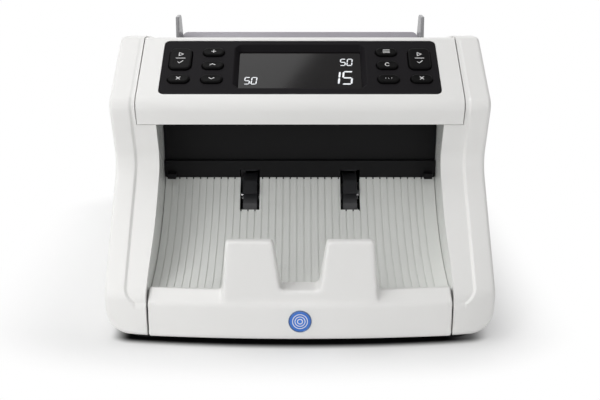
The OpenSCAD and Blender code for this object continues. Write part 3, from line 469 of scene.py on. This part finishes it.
# bandFade: how much of the band goes between two heights; columns: points across to the head's cut, over the band's
# edge and out to the side, where they crowd; rows: points down the nose, the front and the toe
arm = {"inner": armInner + 0.2, "edge": 3.0, "corner": 15.0, "sweep": 3.5, "wall": 2.6, "capLap": 1.5, "rim": 0.3,
       "rimAngle": 60.0, "deckFront": 185.5, "topBack": 131.5, "topFall": 1.0,
       "bandEdge": 111.0, "bandDepth": 1.6, "bandFoot": 25.2, "bandRound": 12.5, "bandSoft": 2.0,
       "bandFade": ((0.6, 126.0, 146.0), (0.4, 150.0, 176.0)), "lipIn": 2.4, "lipRise": (30.0, 75.0),
       "dip": 2.2, "dipRise": (150.0, 174.0), "dipRun": 8.0, "dipAhead": 0.1,
       "steps": 14, "columns": (27, 13, 24), "crowd": 1.7, "rows": (5, 27, 9)}
# corners of the side view: depth, height, rounding
shell = np.array([
    (bowAt(armInner), body["lift"], 4.0), (body["depth"], body["lift"], 8.0), (body["depth"], body["deck"], 24.0),
    (arm["deckFront"], body["deck"], 20.0), (arm["topBack"], body["headTop"] - arm["topFall"], 12.0),
    (body["headFront"], body["headTop"], 6.0), noseTip + (body["noseRound"],), body["waist"] + (18.0,),
    (bowAt(armInner), body["toe"], 12.0)])
backCorner, topCorner, noseCorner, waistCorner, toeCorner = range(4, 9)
cornerPoints = arm["steps"] + 1
headCut = {"x": head["half"] + head["gap"], "back": head["back"] + head["seam"], "low": head["low"] - head["slot"]}


def drawIn(t, r):
    # how far a rounding of radius r draws in at distance t from its face
    return r - math.sqrt(max(r * r - max(r - t, 0.0) ** 2, 0.0))


def shareAt(corner, axis, value):
    # share of the straight run after a corner of the side view at which a coordinate reaches a value
    arcs = outline(shell, arm["steps"]).reshape(len(shell), -1, 2)
    first, last = arcs[corner, -1, axis], arcs[corner + 1, 0, axis]
    return (first - value) / (first - last)


# shares of the runs after the corners at which points are added: at the head's cut and down the front
runShares = {
    backCorner: [shareAt(backCorner, 0, headCut["back"])],
    noseCorner: np.linspace(shareAt(noseCorner, 1, headCut["low"]), 1, arm["rows"][0])[:-1],
    waistCorner: np.linspace(0, 1, arm["rows"][1])[1:-1], toeCorner: np.linspace(0, 1, arm["rows"][2])[1:-1]}


def armOutline(x, more=0.0):
    # side view of the arm at distance x from the middle: its toe on the bow, its foot raised towards the outer face
    edge = drawIn(half - x, arm["edge"])
    moved = shell.copy()
    moved[[0, -1], 0] += bowAt(x) - bowAt(armInner) + arm["sweep"] * ((x - armInner) / body["armWidth"]) ** 2
    moved[:2, 1] += max(0.0, drawIn(half - x, arm["corner"]) - edge)
    arcs = outline(inset(moved, edge + more), arm["steps"]).reshape(len(shell), -1, 2)
    parts = []
    for i, points in enumerate(arcs):
        ahead = arcs[(i + 1) % len(arcs), 0] - points[-1]
        parts += [points, points[-1] + np.outer(runShares.get(i, []), ahead)]
    return np.vstack(parts)


def bandCut(ring, x):
    # depth of the recessed band: full inside its edge, which curves inwards at the foot and fades out over the head
    z = ring[:, 1]
    low = arm["bandFoot"]
    turn = np.clip(low + arm["bandRound"] - z, 0.0, arm["bandRound"])
    edge = arm["bandEdge"] - arm["bandRound"] + np.sqrt(arm["bandRound"] ** 2 - turn ** 2)
    inside = ease(edge - x, -arm["bandSoft"] / 2, arm["bandSoft"] / 2) * ease(z, low, low + arm["bandSoft"])
    fade = 1.0 - sum(share * ease(z, start, end) for share, start, end in arm["bandFade"])
    front = np.arange(len(z)) > topCorner * cornerPoints
    return arm["bandDepth"] * inside * fade * front


def makeSideCover(side, name):
    bandEnd = arm["bandEdge"] + arm["bandSoft"]
    counts = arm["columns"]
    xs = np.concatenate([np.linspace(arm["inner"], headCut["x"], counts[0]),
                         np.linspace(headCut["x"], bandEnd, counts[1])[1:],
                         half - (half - bandEnd) * np.linspace(1, 0, counts[2])[1:] ** arm["crowd"]])
    rings = []
    for x in xs:
        ring = armOutline(x)
        along = unit(np.roll(ring, -1, 0) - np.roll(ring, 1, 0))
        inward = np.stack([-along[:, 1], along[:, 0]], 1)
        ring = ring + inward * bandCut(ring, x)[:, None]
        rings.append(np.column_stack([np.full(len(ring), x), ring]))
    lap = armOutline(half, arm["capLap"])
    rings.append(np.column_stack([np.full(len(lap), half), lap]))
    points = np.array(rings)
    count = points.shape[1]
    quads = gridFaces(len(rings), count, ring=True)
    column = quads[:, 0] % count
    atHead = (column >= topCorner * cornerPoints) & (column < waistCorner * cornerPoints + 1)
    inner = points.reshape(-1, 3)[quads].mean(1)[:, 0] < headCut["x"]
    faces = quads[~(atHead & inner)].tolist() + [list(range((len(rings) - 1) * count, len(rings) * count))]
    # above the front panel the inner edge leans in to cover the lining's edge
    front = np.arange(count) > noseCorner * cornerPoints
    lean = arm["lipIn"] * ease(points[..., 2], *arm["lipRise"]) * front
    points[..., 0] -= lean * (1.0 - ease(points[..., 0], arm["inner"], arm["bandEdge"] - arm["bandSoft"]))
    # and behind the head its top dips out of sight
    behind = (points[..., 1] > headCut["back"] - arm["dipAhead"]) * ease(points[..., 2], *arm["dipRise"])
    points[..., 2] -= arm["dip"] * behind * (1.0 - ease(points[..., 0], headCut["x"] - arm["dipRun"], headCut["x"]))
    flat = points.reshape(-1, 3) * np.array([side, 1.0, 1.0])
    piece = makePiece(name + "_skin", flat, faces, "shell_white", replaced=(name,))
    addWall(piece, arm["wall"])
    addBevel(piece, arm["rim"], 2, arm["rimAngle"])


makeSideCover(1.0, "right_side_cover")
makeSideCover(-1.0, "left_side_cover")
print("side covers made")


# Top cover: a skin across the machine with a rounded window in its slope for the bezel

bezel = {"width": 186.6, "height": 52.0, "low": 4.2, "round": 4.0, "thick": 3.0}
cover = {"wall": 3.2, "edge": 0.3, "sharp": 0.1, "backRound": 1.2, "steps": 10, "columns": (9, 10),
         "endColumn": 1.0, "sideRows": 9}
bezelMid = bezel["low"] + bezel["height"] / 2


def makeTopCover():
    waist = body["waist"]
    frontLow = noseTip[0] + (noseTip[1] - head["low"]) / (noseTip[1] - waist[1]) * (waist[0] - noseTip[0])
    corners = np.array([(frontLow, head["low"], cover["sharp"]), (head["back"], head["low"], cover["sharp"]),
                        (head["back"], body["headTop"] - head["fall"], cover["backRound"]),
                        (body["headFront"], body["headTop"], head["round"]), noseTip + (body["noseRound"],)])
    lowFront, lowBack, topBack, topFront, nose = outline(corners, cover["steps"]).reshape(len(corners), -1, 2)
    coreHalf = np.array([bezel["width"], bezel["height"]]) / 2 + body["seam"] / 2 - bezel["round"]
    lastColumn = head["half"] - cover["endColumn"]
    right = np.concatenate([np.linspace(0, coreHalf[0], cover["columns"][0]),
                            np.linspace(coreHalf[0], lastColumn, cover["columns"][1])[1:], [head["half"]]])
    xs = np.concatenate([-right[:0:-1], right])
    parts, faces, count = [], [], 0
    for run in (np.vstack([lowBack[-1:], topBack, topFront]), np.vstack([nose, lowFront[:1]])):
        x, y = np.meshgrid(xs, run[:, 0])
        z = np.broadcast_to(run[:, 1:], x.shape)
        parts.append(np.stack([x, y, z], -1).reshape(-1, 3))
        faces += gridFaces(len(run), len(xs), start=count).tolist()
        count += len(parts[-1])
    # the window: a ring of quads from the slope's border to the nearest points of a rounded rectangle
    top, low = [np.linalg.norm(p - np.array(noseTip)) - body["lip"] for p in (topFront[-1], nose[0])]
    s = np.linspace(low, top, cover["sideRows"])
    border = np.concatenate([
        np.column_stack([xs, np.full(len(xs), low)]), np.column_stack([np.full(len(s), xs[-1]), s])[1:],
        np.column_stack([xs[::-1], np.full(len(xs), top)])[1:],
        np.column_stack([np.full(len(s), xs[0]), s[::-1]])[1:-1]])
    local = border - np.array([0.0, bezelMid])
    core = np.clip(local, -coreHalf, coreHalf)
    rim = core + bezel["round"] * unit(local - core) + np.array([0.0, bezelMid])
    ringPoints = np.vstack([border, rim])
    parts.append(onSlope(ringPoints[:, 0], ringPoints[:, 1], 0.0))
    faces += gridFaces(2, len(border), ring=True, start=count).tolist()
    count += len(parts[-1])
    # flat ends
    side = np.vstack([lowBack[-1:], topBack, topFront, onSlope(0.0, s[::-1][1:-1], 0.0)[:, 1:], nose, lowFront[:1]])
    for x in (-head["half"], head["half"]):
        parts.append(np.column_stack([np.full(len(side), x), side]))
        faces.append(list(range(count, count + len(side))))
        count += len(side)
    piece = makePiece("top_cover_skin", np.vstack(parts), faces, "shell_white", replaced=("top_cover",))
    addWall(piece, cover["wall"])
    addBevel(piece, cover["edge"], 2)


makeTopCover()
print("top cover made")


# Front panel: a bowed strip with a soft crease, and the block with two tabs

panel = {"foot": 0.0, "back": 17.0, "backTop": 32.0, "ledge": (11.5, 34.0), "crease": (1.8, 27.5),
         "rounds": {"foot": 2.5, "heel": 0.5, "back": 1.0, "ledge": 1.5, "crease": 4.0},
         "end": bay - body["seam"], "columns": 65}
# half widths of the tabs' front and back outline, and the depths of those two faces at the foot and at the top
tabs = {"foot": (49.6, 51.6), "top": (46.2, 46.9), "height": 68.2, "notchTop": (17.0, 16.4), "notchLow": (12.6, 12.0),
        "notchFloor": 36.0, "low": 20.0, "front": (3.75, 8.0), "back": (23.6, 14.5),
        "rounds": {"foot": 0.1, "top": 2.5, "notchTop": 2.0, "notchLow": 3.0}}
moulding = {"voxel": 0.8, "passes": 14, "soft": 0.5, "reach": (56.0, 62.0), "foot": (26.5, 30.0), "elsewhere": 0.12}


def panelStrip():
    # the panel's side view carried across the machine along the bow, closed at both ends
    foot, back, rounds = panel["foot"], panel["back"], panel["rounds"]
    side = outline(np.array([(foot, body["lift"], rounds["foot"]), (back, body["lift"], rounds["heel"]),
                             (back, panel["backTop"], rounds["back"]), panel["ledge"] + (rounds["ledge"],),
                             panel["crease"] + (rounds["crease"],)]))
    x, y = np.meshgrid(np.linspace(-panel["end"], panel["end"], panel["columns"]), side[:, 0], indexing="ij")
    z = np.broadcast_to(side[:, 1], x.shape)
    return ringSkin(np.stack([x, y + bowAt(x), z], -1))


def tabBlock():
    # front view outlines with their notch, a narrow one on the leaning front face and a wide one on the back face
    low, top, floor = tabs["low"], tabs["height"], tabs["notchFloor"]
    rounds = tabs["rounds"]
    rings = []
    for k, lean in enumerate((tabs["front"], tabs["back"])):
        right = [(tabs["foot"][k], low, rounds["foot"]), (tabs["top"][k], top, rounds["top"]),
                 (tabs["notchTop"][k], top, rounds["notchTop"]), (tabs["notchLow"][k], floor, rounds["notchLow"])]
        left = [(-x, z, r) for x, z, r in reversed(right)]
        ring = outline(np.array(left[-1:] + right + left[:-1]))
        share = (ring[:, 1] - low) / (top - low)
        rings.append(np.column_stack([ring[:, 0], lean[0] + (lean[1] - lean[0]) * share, ring[:, 1]]))
    return ringSkin(rings)


def settle(points, edges, weight):
    # draws each point towards the mean of its neighbours, by its weight, in several passes
    near = np.bincount(edges.ravel(), minlength=len(points))[:, None]
    for _ in range(moulding["passes"]):
        total = np.zeros_like(points)
        np.add.at(total, edges[:, 0], points[edges[:, 1]])
        np.add.at(total, edges[:, 1], points[edges[:, 0]])
        points = points + (total / near - points) * weight[:, None]
    return points


def makeFrontPanel():
    # strip and tabs joined into one skin on a fine grid, whose edges are then drawn soft around the tabs
    strip, stripFaces = panelStrip()
    block, blockFaces = tabBlock()
    faces = stripFaces + [[i + len(strip) for i in face] for face in blockFaces]
    piece = makePiece("front_panel_skin", np.vstack([strip, block]), faces, "shell_white", replaced=("front_panel",))
    joined = piece.modifiers.new("joined", "REMESH")
    joined.mode = "VOXEL"
    joined.voxel_size = moulding["voxel"] * mm
    mesh = bpy.data.meshes.new_from_object(piece.evaluated_get(bpy.context.evaluated_depsgraph_get()))
    piece.modifiers.clear()
    points = coordsOf(mesh)
    edges = np.empty(len(mesh.edges) * 2, int)
    mesh.edges.foreach_get("vertices", edges)
    near = (1 - ease(np.abs(points[:, 0]) / mm, *moulding["reach"])) * ease(points[:, 2] / mm, *moulding["foot"])
    weight = moulding["soft"] * (moulding["elsewhere"] + (1 - moulding["elsewhere"]) * near)
    mesh.vertices.foreach_set("co", settle(points, edges.reshape(-1, 2), weight).ravel())
    shadeSmooth(mesh)
    piece.data = mesh


makeFrontPanel()
print("front panel made")


# Keys: lofted caps with a flange below the bezel, slightly dished on top

keyLook = {"oval": (14.4, 7.4), "big": (15.0, 20.4), "bigRound": 4.0, "rise": 1.6, "edge": 1.1, "dish": 0.25,
           "flange": 1.2, "flangeThick": 1.0, "gap": 0.35, "ovalFlat": 0.1, "edgeSteps": 7,
           "dishRings": (0.75, 0.4, 0.1), "sharp": 50.0}
columns = {"inner": 58.9, "outer": 81.0}
rows = {"add": 13.8, "up": 0.8, "down": -12.5, "start": 6.8, "clear": -12.4}
# each key's place across, its place up the slope and its form
keys = {
    "key_start_left": (-columns["outer"], rows["start"], "big"),
    "key_clear_left": (-columns["outer"], rows["clear"], "oval"),
    "key_add": (-columns["inner"], rows["add"], "oval"),
    "key_up": (-columns["inner"], rows["up"], "oval"),
    "key_down": (-columns["inner"], rows["down"], "oval"),
    "key_batch": (columns["inner"], rows["add"], "oval"),
    "key_mode": (columns["inner"], rows["up"], "oval"),
    "key_menu": (columns["inner"], rows["down"], "oval"),
    "key_start_right": (columns["outer"], rows["start"], "big"),
    "key_clear_right": (columns["outer"], rows["clear"], "oval")}


def levelRing(corners, n, steps=8):
    # outline of a plan on the control slope, at height n above its face
    plan = outline(corners, steps)
    return np.column_stack([plan, np.full(len(plan), n)])


def makeKey(name, x, s, kind):
    w, h = keyLook[kind]
    r = keyLook["bigRound"] if kind == "big" else (h - keyLook["ovalFlat"]) / 2
    plan = slab(w, h, r)
    low = -bezel["thick"] - keyLook["gap"]
    edge = keyLook["edge"]
    turn = np.radians(np.linspace(0, 90, keyLook["edgeSteps"]))
    levels = [(-keyLook["flange"], low - keyLook["flangeThick"]), (-keyLook["flange"], low), (0.0, low)]
    levels += list(zip(edge * (1 - np.cos(turn)), keyLook["rise"] - edge + edge * np.sin(turn)))
    rings = [levelRing(inset(plan, d), n) for d, n in levels]
    # the top draws in to the middle, a little below its rim
    rim = rings[-1]
    for k in keyLook["dishRings"]:
        rings.append(np.column_stack([rim[:, :2] * k, rim[:, 2] - keyLook["dish"] * (1 - k * k)]))
    points, faces = ringSkin(rings)
    place = onSlope(points[:, 0] + x, points[:, 1] + bezelMid + s, points[:, 2])
    makePiece(name + "_cap", place, faces, "key_black", name, (name,), sharp=keyLook["sharp"])


for keyName, (keyX, keyS, keyKind) in keys.items():
    makeKey(keyName, keyX, keyS, keyKind)
print("keys made:", len(keys))


# Marks: flat strips along short paths, laid on the keys and the display

markLook = {"width": 0.5, "lift": 0.06, "scale": 900.0, "soft": (0.2, 0.8), "rough": 0.6,
            "tones": ((0.74, 0.74, 0.74), (0.82, 0.82, 0.82))}


def speckle(place, look):
    # patches of two tones, as in a printed or a lit surface
    return noise(place, look["scale"]).smooth(*look["soft"]).mixColor(*[rgba(tone) for tone in look["tones"]])


inkWhite = paint("ink_white", lambda place: {"Base Color": speckle(place, markLook), "Roughness": markLook["rough"]})


def ribbon(path, width):
    # a strip of given width along an open path, with square ends
    path = np.asarray(path, float)
    along = unit(np.gradient(path, axis=0))
    out = np.stack([-along[:, 1], along[:, 0]], 1) * width / 2
    return np.vstack([path + out, path - out]), gridFaces(2, len(path))


def bent(*corners, steps=6):
    # points of a polyline, several to each leg, so that its corners stay sharp enough
    corners = np.asarray(corners, float)
    t = np.linspace(0, len(corners) - 1, (len(corners) - 1) * steps + 1)
    i = np.minimum(t.astype(int), len(corners) - 2)
    return corners[i] + (corners[i + 1] - corners[i]) * (t - i)[:, None]


def arc(radius, start, end, steps=16, mid=(0.0, 0.0)):
    a = np.radians(np.linspace(start, end, steps))
    return np.column_stack([mid[0] + radius * np.cos(a), mid[1] + radius * np.sin(a)])


marks = {
    "key_start_left": [bent((-1.2, 4.1), (-1.2, 2.5), (1.7, 4.1), (-1.2, 5.7), (-1.2, 4.1)),
                       bent((-3.2, 0.2), (3.2, 0.2)), bent((-1.7, -3.4), (-0.5, -4.6), (1.9, -2.2))],
    "key_clear_left": [bent((-1.3, -1.3), (1.3, 1.3)), bent((-1.3, 1.3), (1.3, -1.3))],
    "key_add": [bent((-1.6, 0.0), (1.6, 0.0)), bent((0.0, -1.6), (0.0, 1.6))],
    "key_up": [bent((-1.9, -0.6), (0.0, 0.7), (1.9, -0.6))],
    "key_down": [bent((-1.9, 0.6), (0.0, -0.7), (1.9, 0.6))],
    "key_batch": [bent((-2.4, y), (2.4, y)) for y in (-1.3, 0.0, 1.3)],
    "key_mode": [arc(1.5, 40, 320)],
    "key_menu": [bent((x - 0.3, 0.0), (x + 0.3, 0.0)) for x in (-2.0, 0.0, 2.0)]}
marks["key_start_right"] = marks["key_start_left"]
marks["key_clear_right"] = marks["key_clear_left"]


def makeMarks(name, strokes):
    # ribbons on the key's top, following its dish
    x, s, kind = keys[name]
    w, h = keyLook[kind]
    parts, faces, count = [], [], 0
    for stroke in strokes:
        flat, quads = ribbon(stroke, markLook["width"])
        parts.append(flat)
        faces += (quads + count).tolist()
        count += len(flat)
    flat = np.vstack(parts)
    away = np.max(np.abs(flat) / (np.array([w, h]) / 2 - keyLook["edge"]), axis=1)
    n = keyLook["rise"] - keyLook["dish"] * np.clip(1 - away ** 2, 0, 1) + markLook["lift"]
    place = onSlope(flat[:, 0] + x, flat[:, 1] + bezelMid + s, n)
    makePiece(name + "_mark", place, faces, "key_black", name, material=inkWhite)


for keyName, keyStrokes in marks.items():
    makeMarks(keyName, keyStrokes)
print("marks made:", len(marks))


# Display: dark glass in the bezel's frame, with plain digits

lcd = {"width": 83.0, "height": 36.2, "offset": 0.8, "rebate": (5.0, 4.0), "back": -6.9, "seat": -5.75, "top": -4.1,
       "flangeGap": 0.8, "flangeRound": 0.8, "lensGap": 0.1, "lensRound": 0.9, "lensEdge": 0.1, "rimIn": 0.5,
       "cornerSteps": 4, "lift": 0.03}
digits = [  # text, height, right end across and foot up from the display's middle, width of a bar
    {"text": "50", "high": 7.1, "right": -28.5, "foot": -13.65, "stroke": 0.75},
    {"text": "50", "high": 7.0, "right": 36.3, "foot": 4.45, "stroke": 0.75},
    {"text": "15", "high": 13.1, "right": 36.4, "foot": -13.85, "stroke": 1.25}]
# shares of a digit's height, apart from the gap, a share of the bar's width
digitShape = {"wide": 0.46, "pitch": 0.655, "slant": 0.1, "gap": 0.12}
digitLook = {"scale": 700.0, "soft": (0.2, 0.8), "tones": ((0.78, 0.8, 0.82), (0.86, 0.88, 0.9)), "rough": 0.5,
             "glow": (0.9, 0.93, 1.0), "power": 0.25}
glassLook = {"scale": 30.0, "soft": (0.25, 0.75), "tones": ((0.005, 0.0042, 0.0045), (0.007, 0.0058, 0.0063)),
             "rough": 0.07, "smear": 60.0, "smearGloss": 0.04, "gloss": 0.14}
segments = {"0": "abcdef", "1": "bc", "5": "acdfg"}
segmentPaths = {  # ends of each bar in a cell one unit wide and two high
    "a": ((0, 2), (1, 2)), "b": ((1, 2), (1, 1)), "c": ((1, 1), (1, 0)), "d": ((0, 0), (1, 0)),
    "e": ((0, 1), (0, 0)), "f": ((0, 2), (0, 1)), "g": ((0, 1), (1, 1))}
lcdMid = bezelMid + lcd["offset"]


def lcdGlass(place):
    # near black, with the faint purple cast of a negative display seen through a smooth cover
    smear = noise(place, glassLook["smear"], 3.0) * glassLook["smearGloss"]
    return {"Base Color": speckle(place, glassLook), "Roughness": smear + glassLook["rough"],
            "Specular IOR Level": glassLook["gloss"]}


def makeWindow():
    # a flange in the bezel's rebate and a raised lens that fills the frame's opening
    width, height, top, edge = lcd["width"], lcd["height"], lcd["top"], lcd["lensEdge"]
    flange = slab(width + lcd["rebate"][0] - lcd["flangeGap"], height + lcd["rebate"][1] - lcd["flangeGap"],
                  lcd["flangeRound"])
    lens = slab(width - lcd["lensGap"], height - lcd["lensGap"], lcd["lensRound"])
    levels = [(flange, 0.0, lcd["back"]), (flange, 0.0, lcd["seat"]), (lens, 0.0, lcd["seat"]),
              (lens, 0.0, top - edge), (lens, edge, top), (lens, lcd["rimIn"], top)]
    points, faces = ringSkin([levelRing(inset(plan, d), n, lcd["cornerSteps"]) for plan, d, n in levels])
    place = onSlope(points[:, 0], points[:, 1] + lcdMid, points[:, 2])
    makePiece("lcd_window_glass", place, faces, "display_glass", replaced=("lcd_window",),
              material=paint("display_glass", lcdGlass))


def bar(start, end, width, gap):
    # one segment: a strip with pointed ends, short of its corners by the gap
    start, end = np.asarray(start, float), np.asarray(end, float)
    along = (end - start) / np.linalg.norm(end - start)
    out = np.array([-along[1], along[0]]) * width / 2
    a, b = start + along * gap, end - along * gap
    tip = along * width / 2
    return np.array([a, a + tip + out, b - tip + out, b, b - tip - out, a + tip - out])


def makeDigits():
    parts, faces, count = [], [], 0
    for look in digits:
        stroke = look["stroke"]
        size = np.array([digitShape["wide"] * look["high"], (look["high"] - stroke) / 2])
        for k, sign in enumerate(reversed(look["text"])):
            across = look["right"] - stroke / 2 - size[0] - k * digitShape["pitch"] * look["high"]
            for name in segments[sign]:
                start, end = [np.array(p) * size for p in segmentPaths[name]]
                flat = bar(start, end, stroke, stroke * digitShape["gap"])
                flat[:, 0] += (flat[:, 1] - look["high"]) * digitShape["slant"]
                parts.append(flat + np.array([across, look["foot"] + stroke / 2]))
                faces.append(list(range(count, count + len(flat))))
                count += len(flat)
    flat = np.vstack(parts)
    lit = paint("digit_white", lambda place: {
        "Base Color": speckle(place, digitLook), "Roughness": digitLook["rough"],
        "Emission Color": rgba(digitLook["glow"]), "Emission Strength": digitLook["power"]})
    place = onSlope(flat[:, 0], flat[:, 1] + lcdMid, lcd["top"] + lcd["lift"])
    makePiece("lcd_digits", place, faces, "display_body", material=lit)


makeWindow()
makeDigits()
print("display made")


# Badge: a low enamel dome in a thin raised rim, square to the panel's face

badge = {"radius": 7.35, "height": 17.0, "depth": 1.3, "rim": 0.7, "proud": 0.55, "dome": 0.2, "root": 1.2, "sunk": 0.3,
         "rimProfile": ((0.1, 0.1), (0.3, 0.0), (0.55, 0.08)),  # in from the edge, down from the top
         "rings": ((1.5, 2.0), (3.0, 3.5), (4.5, 5.0)), "ringSoft": 0.08, "rimSoft": 0.1,
         "domeGap": 0.1, "domeEnd": 0.04, "domeRings": 8, "step": 5.0}
badgeLook = {"metal": 0.6, "coat": 0.6, "rough": 0.16, "grain": 500.0, "grainGloss": 0.08}
badgeColors = {"middle": (0.02, 0.19, 0.72, 1.0), "edge": (0.012, 0.14, 0.58, 1.0), "ring": (0.72, 0.76, 0.82, 1.0),
               "rim": (0.06, 0.13, 0.3, 1.0)}


def badgeEnamel(place):
    # blue enamel, deeper towards its edge, with pale rings, in a darker metal rim
    middle = (0.0, (badge["depth"] - body["depth"] / 2) * mm, badge["height"] * mm)
    away = place.add("ShaderNodeVectorMath", {"operation": "DISTANCE"}, {0: place, 1: middle}, out=1)

    def past(radius, soft):
        return away.smooth((radius - soft) * mm, (radius + soft) * mm)

    color = away.smooth(0.0, badge["radius"] * mm).mixColor(badgeColors["middle"], badgeColors["edge"])
    for inner, outer in badge["rings"]:
        line = past(inner, badge["ringSoft"]) - past(outer, badge["ringSoft"])
        color = line.mixColor(color, badgeColors["ring"])
    rim = past(badge["radius"] - badge["rim"], badge["rimSoft"])
    grain = noise(place, badgeLook["grain"]) * badgeLook["grainGloss"]
    return {"Base Color": rim.mixColor(color, badgeColors["rim"]), "Metallic": rim * badgeLook["metal"],
            "Roughness": grain + badgeLook["rough"], "Coat Weight": badgeLook["coat"]}


def makeBadge():
    # rings from the root out to the rim, over it and in to the dome's middle
    r, proud = badge["radius"], badge["proud"]
    sunk = proud - badge["sunk"]
    levels = [(r, -badge["root"]), (r, sunk)]
    levels += [(r - inward, proud - down) for inward, down in badge["rimProfile"]]
    levels += [(r - badge["rim"], sunk)]
    inner = np.linspace(1.0, badge["domeEnd"], badge["domeRings"]) * (r - badge["rim"] - badge["domeGap"])
    levels += [(x, sunk + badge["dome"] * (1 - (x / r) ** 2)) for x in inner]
    turn = np.radians(np.arange(0, 360, badge["step"]))
    lean = math.atan2(panel["foot"] - panel["crease"][0], panel["crease"][1] - body["lift"])
    faceY = panel["foot"] - (badge["height"] - body["lift"]) * math.tan(lean)
    rings = []
    for radius, out in levels:
        x, v = radius * np.cos(turn), radius * np.sin(turn)
        rings.append(np.column_stack([x, faceY - out * math.cos(lean) - v * math.sin(lean),
                                      badge["height"] + v * math.cos(lean) - out * math.sin(lean)]))
    makePiece("badge_disc", *ringSkin(rings), "badge_blue", replaced=("badge",),
              material=paint("badge_blue", badgeEnamel))


makeBadge()
print("badge made")


# Remaining solids keep their shape, with smooth round faces, softened edges and their finish

softEdges = {"left_lining": 0.3, "right_lining": 0.3, "base_plate": 0.6, "stacker_back": 0.3,
             "control_bezel": 0.35, "hopper_plate": 0.4, "note_guide_left": 0.5, "note_guide_right": 0.5,
             "feet": 0.6, "power_inlet": 0.4, "switch_frame": 0.4, "power_rocker": 0.5, "gap_knob": 0.3}
solidAngles = {"flat": 0.3, "sharp": 34.0}  # degrees below which faces join, and above which an edge stays sharp
trayArc = {"node": "stacker_tray", "mid": np.array([0.0, 3.5 - body["depth"] / 2, 157.5]) * mm, "near": 0.97}


def shadeArc(mesh):
    # the stacker floor's shading follows its arc, whatever facets its slots leave; other faces stay flat
    normals, sizes = np.empty(len(mesh.polygons) * 3), np.empty(len(mesh.polygons), int)
    mesh.polygons.foreach_get("normal", normals)
    mesh.polygons.foreach_get("loop_total", sizes)
    corners = np.empty(len(mesh.loops), int)
    mesh.loops.foreach_get("vertex_index", corners)
    plain = np.repeat(normals.reshape(-1, 3), sizes, axis=0)
    radial = unit((trayArc["mid"] - coordsOf(mesh)[corners]) * np.array([0.0, 1.0, 1.0]))
    along = (plain * radial).sum(1, keepdims=True)
    mesh.normals_split_custom_set(np.where(np.abs(along) > trayArc["near"], radial * np.sign(along), plain))


# Note guides: two corners of a blade's front edge, by the box that holds each, where its round lies and where it goes
guideFront = {"nodes": ("note_guide_left", "note_guide_right"), "corners": (
    {"ahead": 170.0, "above": 175.0, "was": (157.4, 180.0), "now": (172.0, 184.6), "share": 0.2},
    {"ahead": 148.2, "above": 160.0, "was": (147.7, 163.7), "now": (167.0, 156.0), "share": 1.0})}


def shapeGuide(mesh):
    # both corners are drawn back, so that the edge stands upright behind a low rail
    points = coordsOf(mesh)
    origin = np.array([body["depth"] / 2, 0.0])
    side = points[:, 1:] / mm + origin
    moved = side.copy()
    for corner in guideFront["corners"]:
        chosen = (side[:, 0] < corner["ahead"]) & (side[:, 1] > corner["above"])
        moved[chosen] = np.array(corner["now"]) + corner["share"] * (side[chosen] - np.array(corner["was"]))
    points[:, 1:] = (moved - origin) * mm
    mesh.vertices.foreach_set("co", points.ravel())


def softCopy(node, slotName):
    # a copy of the solid's mesh, merged, its flat faces joined, shaded smooth up to the sharp angle
    mesh = nodes[node].data.copy()
    work = bmesh.new()
    work.from_mesh(mesh)
    bmesh.ops.remove_doubles(work, verts=work.verts, dist=weldGap)
    bmesh.ops.dissolve_limit(work, angle_limit=math.radians(solidAngles["flat"]), verts=work.verts, edges=work.edges)
    work.to_mesh(mesh)
    work.free()
    if node in guideFront["nodes"]:
        shapeGuide(mesh)
    shadeSmooth(mesh, solidAngles["sharp"])
    piece = addPiece(node + "_soft", mesh, finish[slotName], body_of(nodes[node])[0], (node,))
    if node == trayArc["node"]:
        shadeArc(mesh)
    elif node in softEdges:
        addBevel(piece, softEdges[node], 2, solidAngles["sharp"], clamp=False)
    else:
        addEvenShading(piece)


for subpart in frame["record"]["subparts"]:
    if not nodes[subpart["node"]].hide_render:
        softCopy(subpart["node"], subpart["material_slot"])
print("solids dressed")
